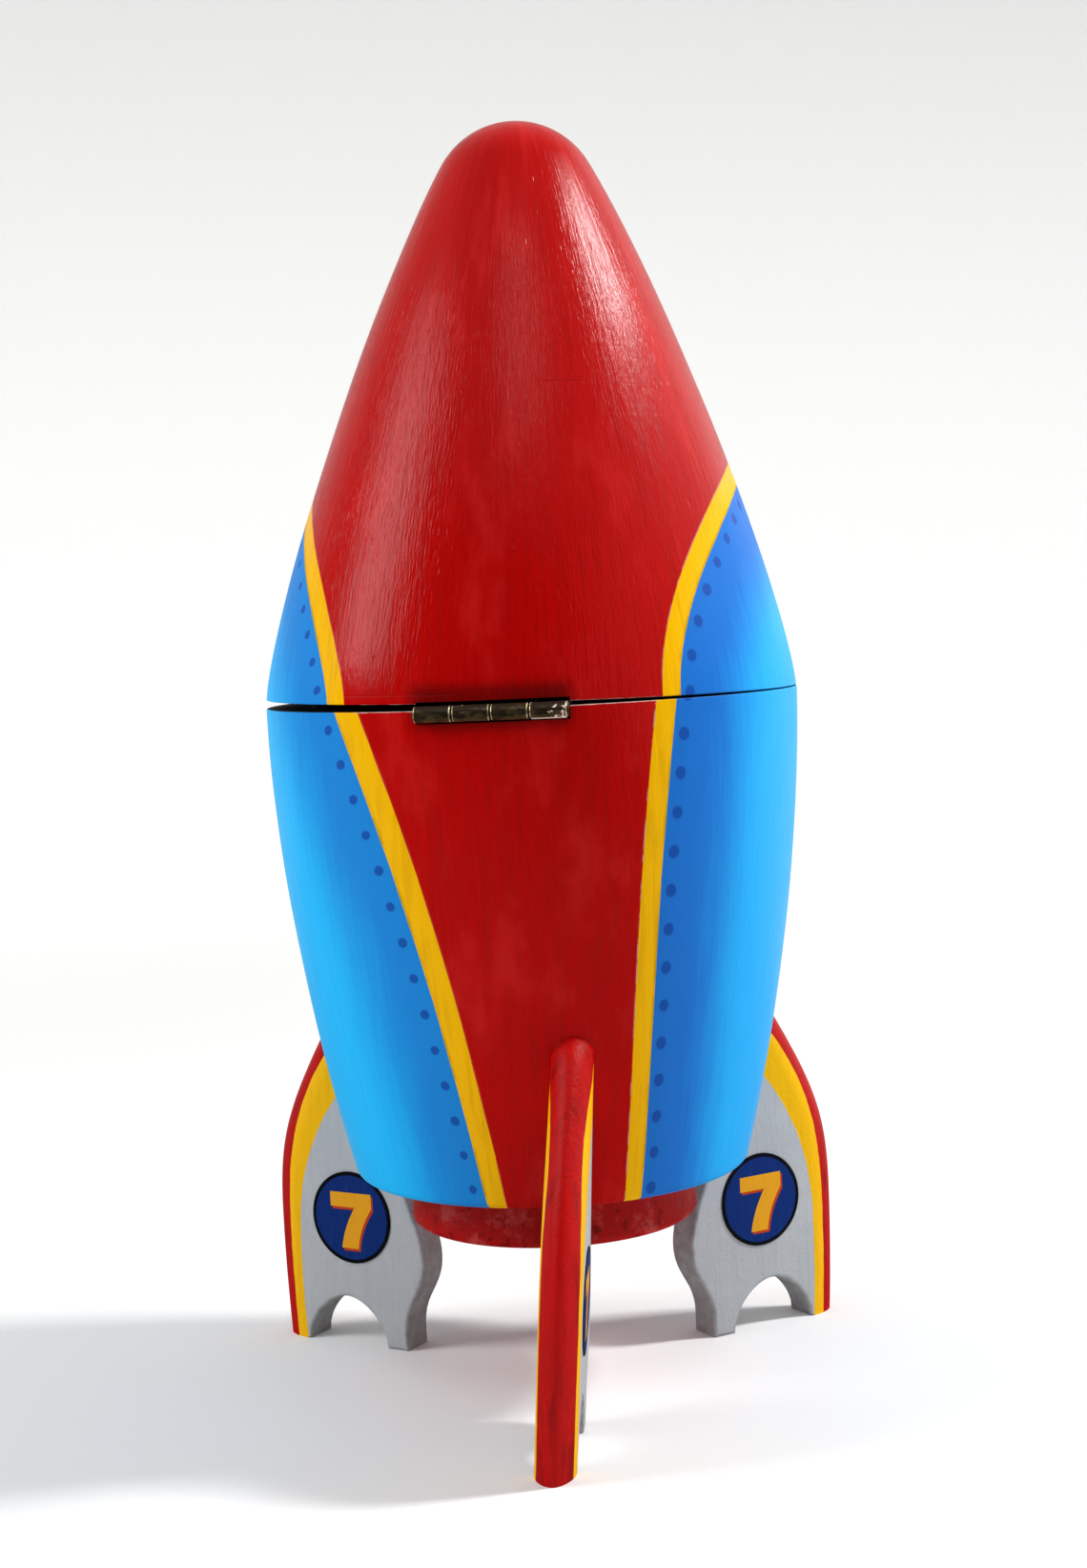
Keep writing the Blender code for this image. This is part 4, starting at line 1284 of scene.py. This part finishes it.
def filler_loop(point, way, rise, fin):
    """Section of the filler at a point of its path: a hollow curve from the hull to the fin."""
    out = Vector((point.x, point.y, 0.0)).normalized()
    away = way.cross(out).normalized()
    share = share_between(point.z, BASE_Z, FIN_TOP_CAP_Z)
    leg = FILLER_LEG_LOW + (FILLER_LEG_HIGH - FILLER_LEG_LOW) * share ** 2
    leg *= 1.0 + FILLER_UNEVEN * noise.noise(point / FILLER_UNEVEN_LENGTH)
    dip = FILLER_TOP_DIP * rise
    foot = on_hull(point + away * leg)
    head, face = fin.find_nearest(point + (out * cos(dip) - away * sin(dip)) * leg)[:2]
    down = point - head
    down -= face * down.dot(face)
    curve = cubic(foot, foot.lerp(point, FILLER_HOLLOW), head + down * FILLER_HOLLOW, head, steps=8)
    root = point - (out + away) * FILLER_SINK
    return [root, foot - out * FILLER_SINK] + curve + [head - face * FILLER_SINK]


def make_filler(side, fin_mesh, skin):
    """Hollow fillet of filler round a fin's root, painted with the hull."""
    corners = [vert.co for vert in fin_mesh.vertices]
    fin = BVHTree.FromPolygons(corners, [face.vertices for face in fin_mesh.polygons])
    path = filler_path(side)
    shape = bmesh.new()
    loops = []
    for i, (point, rise) in enumerate(path):
        way = (path[min(i + 1, len(path) - 1)][0] - path[max(i - 1, 0)][0]).normalized()
        loops.append([shape.verts.new(corner) for corner in filler_loop(point, way, rise, fin)])
    bridge(shape, loops)
    shape.faces.new(loops[0])
    shape.faces.new(loops[-1])
    sand(shape, seed=0.0)
    filler = solid(f"{side}_fin_filler", shape, AXIS)
    mark_stripes(filler.data, hull_paths(), hull_in_blue, "hull_halves", BASE_Z, RIM_Z)
    coat(filler, skin)
    smooth(filler, FILLER_SMOOTH_ANGLE)
    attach(filler, "hull")


def circle(radius):
    turns = [tau * i / DISC_POINTS for i in range(DISC_POINTS)]
    return [Vector((radius * cos(turn), radius * sin(turn))) for turn in turns]


def curve_through(*corners):
    """Cubic curve from its four control points, given as pairs."""
    return cubic(*(Vector(corner) for corner in corners), steps=10)


def numeral():
    """Plain block numeral, in shares of the disc's radius."""
    right = curve_through((0.53, 0.22), (0.36, -0.02), (0.20, -0.30), (0.16, -0.68))
    left = curve_through((-0.27, -0.68), (-0.22, -0.35), (-0.08, -0.05), (0.10, 0.22))
    bar = [Vector((-0.52, 0.22)), Vector((-0.52, 0.54)), Vector((0.53, 0.54))]
    return list(reversed(bar + right + left))


def disc_face():
    """Flat print: points in shares of the radius, and faces with the ink that covers each."""
    figure = numeral()
    shadow = [point + SHADOW_SHIFT for point in figure]
    points, faces = [], []
    for outline in (circle(1.0), circle(DISC_RING), shadow, figure):
        faces.append(list(range(len(points), len(points) + len(outline))))
        points += outline
    made = delaunay_2d_cdt(points, [], faces, FILL_INSIDE, PRINT_MERGE)
    return made[0], [(face, max(owners)) for face, owners in zip(made[2], made[5])]


def make_disc(side, face, way, inks):
    """Printed paper disc on one face of a fin; way is -1 or 1 across the fin."""
    verts, faces = disc_face()
    base = FIN_THICKNESS / 2
    shape = bmesh.new()
    sheets = []
    for height in (base, base + DISC_THICKNESS):
        sheet = []
        for point in verts:
            reach = DISC_REACH - way * point.x * DISC_RADIUS
            sheet.append(shape.verts.new((way * height, -reach, DISC_Z + point.y * DISC_RADIUS)))
        sheets.append(sheet)
    lower, upper = sheets
    for corners, ink in faces:
        shape.faces.new([upper[i] for i in corners]).material_index = ink
        shape.faces.new([lower[i] for i in corners])
    for edge in [edge for edge in shape.edges if edge.is_boundary and edge.verts[0] in upper]:
        first, second = (upper.index(vert) for vert in edge.verts)
        shape.faces.new((upper[first], upper[second], lower[second], lower[first]))
    mesh = to_mesh(f"{side}_number_{face}", shape)
    set_on_hull(mesh, side)
    disc = new_object(f"{side}_number_{face}", mesh, AXIS)
    coat(disc, *inks)
    put_on(disc, "hull", "number_print", f"number_disc_{side}_{face}")


def is_knuckle_end(edge):
    """Tell whether an edge, in the hinge's own frame, lies on the round end of a knuckle."""
    first, last = (vert.co for vert in edge.verts)
    level = abs(first.x - last.x) < KNUCKLE_END_SLACK
    misses = [abs(hypot(co.y, co.z) - KNUCKLE_RADIUS) for co in (first, last)]
    return level and max(misses) < KNUCKLE_SLACK


def refined(node, name, body, slot, finishes, bevel):
    """Copy of a CAD node with softened edges, standing in the hinge's own frame.
    The second finish is for the rubbed ends of the knuckles, which also carry a painted highlight."""
    shape = bmesh.new()
    shape.from_mesh(frame["nodes"][node].data)
    bmesh.ops.transform(shape, matrix=hinge_frame().inverted(), verts=shape.verts)
    bmesh.ops.remove_doubles(shape, verts=shape.verts, dist=CAD_WELD)
    bmesh.ops.dissolve_limit(shape, angle_limit=radians(FLAT_ANGLE), verts=shape.verts, edges=shape.edges)
    rings = [edge for edge in shape.edges if is_knuckle_end(edge)]
    round_off = {"profile": 0.5, "affect": 'EDGES'}
    bmesh.ops.bevel(shape, geom=rings, offset=KNUCKLE_RUB, segments=3, material=1, **round_off)
    limit = radians(SMOOTH_ANGLE)
    sharp = [edge for edge in shape.edges if edge.is_manifold and edge.calc_face_angle() > limit]
    bmesh.ops.bevel(shape, geom=sharp, offset=bevel, segments=2, clamp_overlap=True, **round_off)
    made = solid(name, shape, hinge_frame())
    smooth(made)
    coat(made, *finishes)
    put_on(made, body, slot, node)


def make_hinge():
    rubbed = worn_and_highlight_brass()
    plain = (old_brass("old_brass", False), rubbed)
    splashed = (old_brass("splashed_brass", True), rubbed)
    refined("hinge_leaf_lower", "lower_leaf", "hull", "hinge_brass", plain, LEAF_BEVEL)
    refined("hinge_leaf_upper", "upper_leaf", "lid", "hinge_brass", splashed, LEAF_BEVEL)
    refined("hinge_pin", "pin", "hull", "hinge_brass", plain, PIN_BEVEL)
    for level, body in (("lower", "hull"), ("upper", "lid")):
        for i in (1, 2):
            refined(f"hinge_screw_{level}_{i}", f"{level}_screw_{i}", body, "screw_brass", plain, SCREW_BEVEL)


def dress_dowels():
    material = bare_wood()
    for name, node in frame["nodes"].items():
        if "dowel" in name:
            node.data.materials.clear()
            coat(node, material)


# Stage

def floor_white():
    """White sweep that glows a little behind the object. In reflections it is dark on the camera's side
    and bright on the right."""
    paint = Paint("floor_white")
    x, y, z = paint.place().split()
    rays = ("Is Camera Ray", "Is Glossy Ray", "Is Diffuse Ray")
    seen, mirrored, scattered = paint.node("ShaderNodeLightPath", rays, {})
    away = paint.math('SQRT', x * x + y * y)
    glow = away.ramp(*BACKDROP_AWAY, 0.0, BACKDROP_GLOW) * z.ramp(*BACKDROP_RISE, 1.0, 0.5) * seen
    flank = x.ramp(*FLANK_X, 0.0, FLANK_GLOW) * mirrored
    dark = (y + x * DARK_TURN).ramp(*DARK_Y) * mirrored
    dim = y.ramp(*DIM_Y, 0.0, 0.6) * scattered
    paint.put("Base Color", paint.math('MAXIMUM', dark, dim).mix(FLOOR_WHITE, FLOOR_SHADE))
    paint.put("Emission Color", WHITE)
    paint.put("Emission Strength", glow + flank)
    paint.put("Roughness", FLOOR_ROUGHNESS)
    paint.put("Specular IOR Level", FLOOR_SHEEN)
    return paint.material


def make_camera():
    """Camera at the photograph's place, turned and rolled as it was."""
    data = bpy.data.cameras.new("camera")
    data.sensor_width = SENSOR
    data.lens = FOCAL_PIXELS * SENSOR / max(PHOTO_SIZE)
    data.clip_start = CLIP_START
    place = AXIS @ Matrix.Translation(CAMERA_PLACE)
    for angle, axis in ((-CAMERA_YAW, 'Z'), (pi / 2 + CAMERA_PITCH, 'X'), (CAMERA_ROLL, 'Z')):
        place = place @ Matrix.Rotation(angle, 4, axis)
    bpy.context.scene.camera = new_object("camera", data, place)


def make_lamps():
    for name, (turn, rise, away, width, height, watts) in LAMPS.items():
        way = on_turn(cos(radians(rise)), turn, sin(radians(rise)))
        data = bpy.data.lights.new(name, 'AREA')
        data.shape = 'RECTANGLE'
        data.size = width
        data.size_y = height
        data.energy = watts
        lamp = new_object(name, data)
        lamp.location = AXIS @ LAMP_AIM + way * away
        lamp.rotation_euler = way.to_track_quat('Z', 'Y').to_euler()


def make_bowl():
    """Round white studio floor that curves up into its wall."""
    outline = [Vector((0.0, 0.0)), Vector((BOWL_FLAT, 0.0))]
    for angle in spread(0.0, pi / 2, steps=24)[1:]:
        outline.append(Vector((BOWL_FLAT + BOWL_CURVE * sin(angle), BOWL_CURVE * (1 - cos(angle)))))
    outline.append(Vector((BOWL_FLAT + BOWL_CURVE, BOWL_WALL_TOP)))
    bowl = solid("floor", turned(outline, BOWL_SEGMENTS))
    bowl.data.flip_normals()
    bowl.data.shade_smooth()
    coat(bowl, floor_white())


def make_world():
    """Even white light from above the bowl."""
    world = bpy.data.worlds.new("world")
    world.use_nodes = True
    bpy.context.scene.world = world
    sky = world.node_tree.nodes["Background"].inputs
    sky["Color"].default_value = WHITE
    sky["Strength"].default_value = AMBIENT


def main():
    bpy.context.scene.view_settings.view_transform = 'Standard'
    make_camera()
    make_lamps()
    make_bowl()
    make_world()
    inside = dark_inside()
    skin = make_hull(inside)
    make_lid(inside)
    make_nozzle()
    make_fins(skin)
    make_hinge()
    dress_dowels()


main()
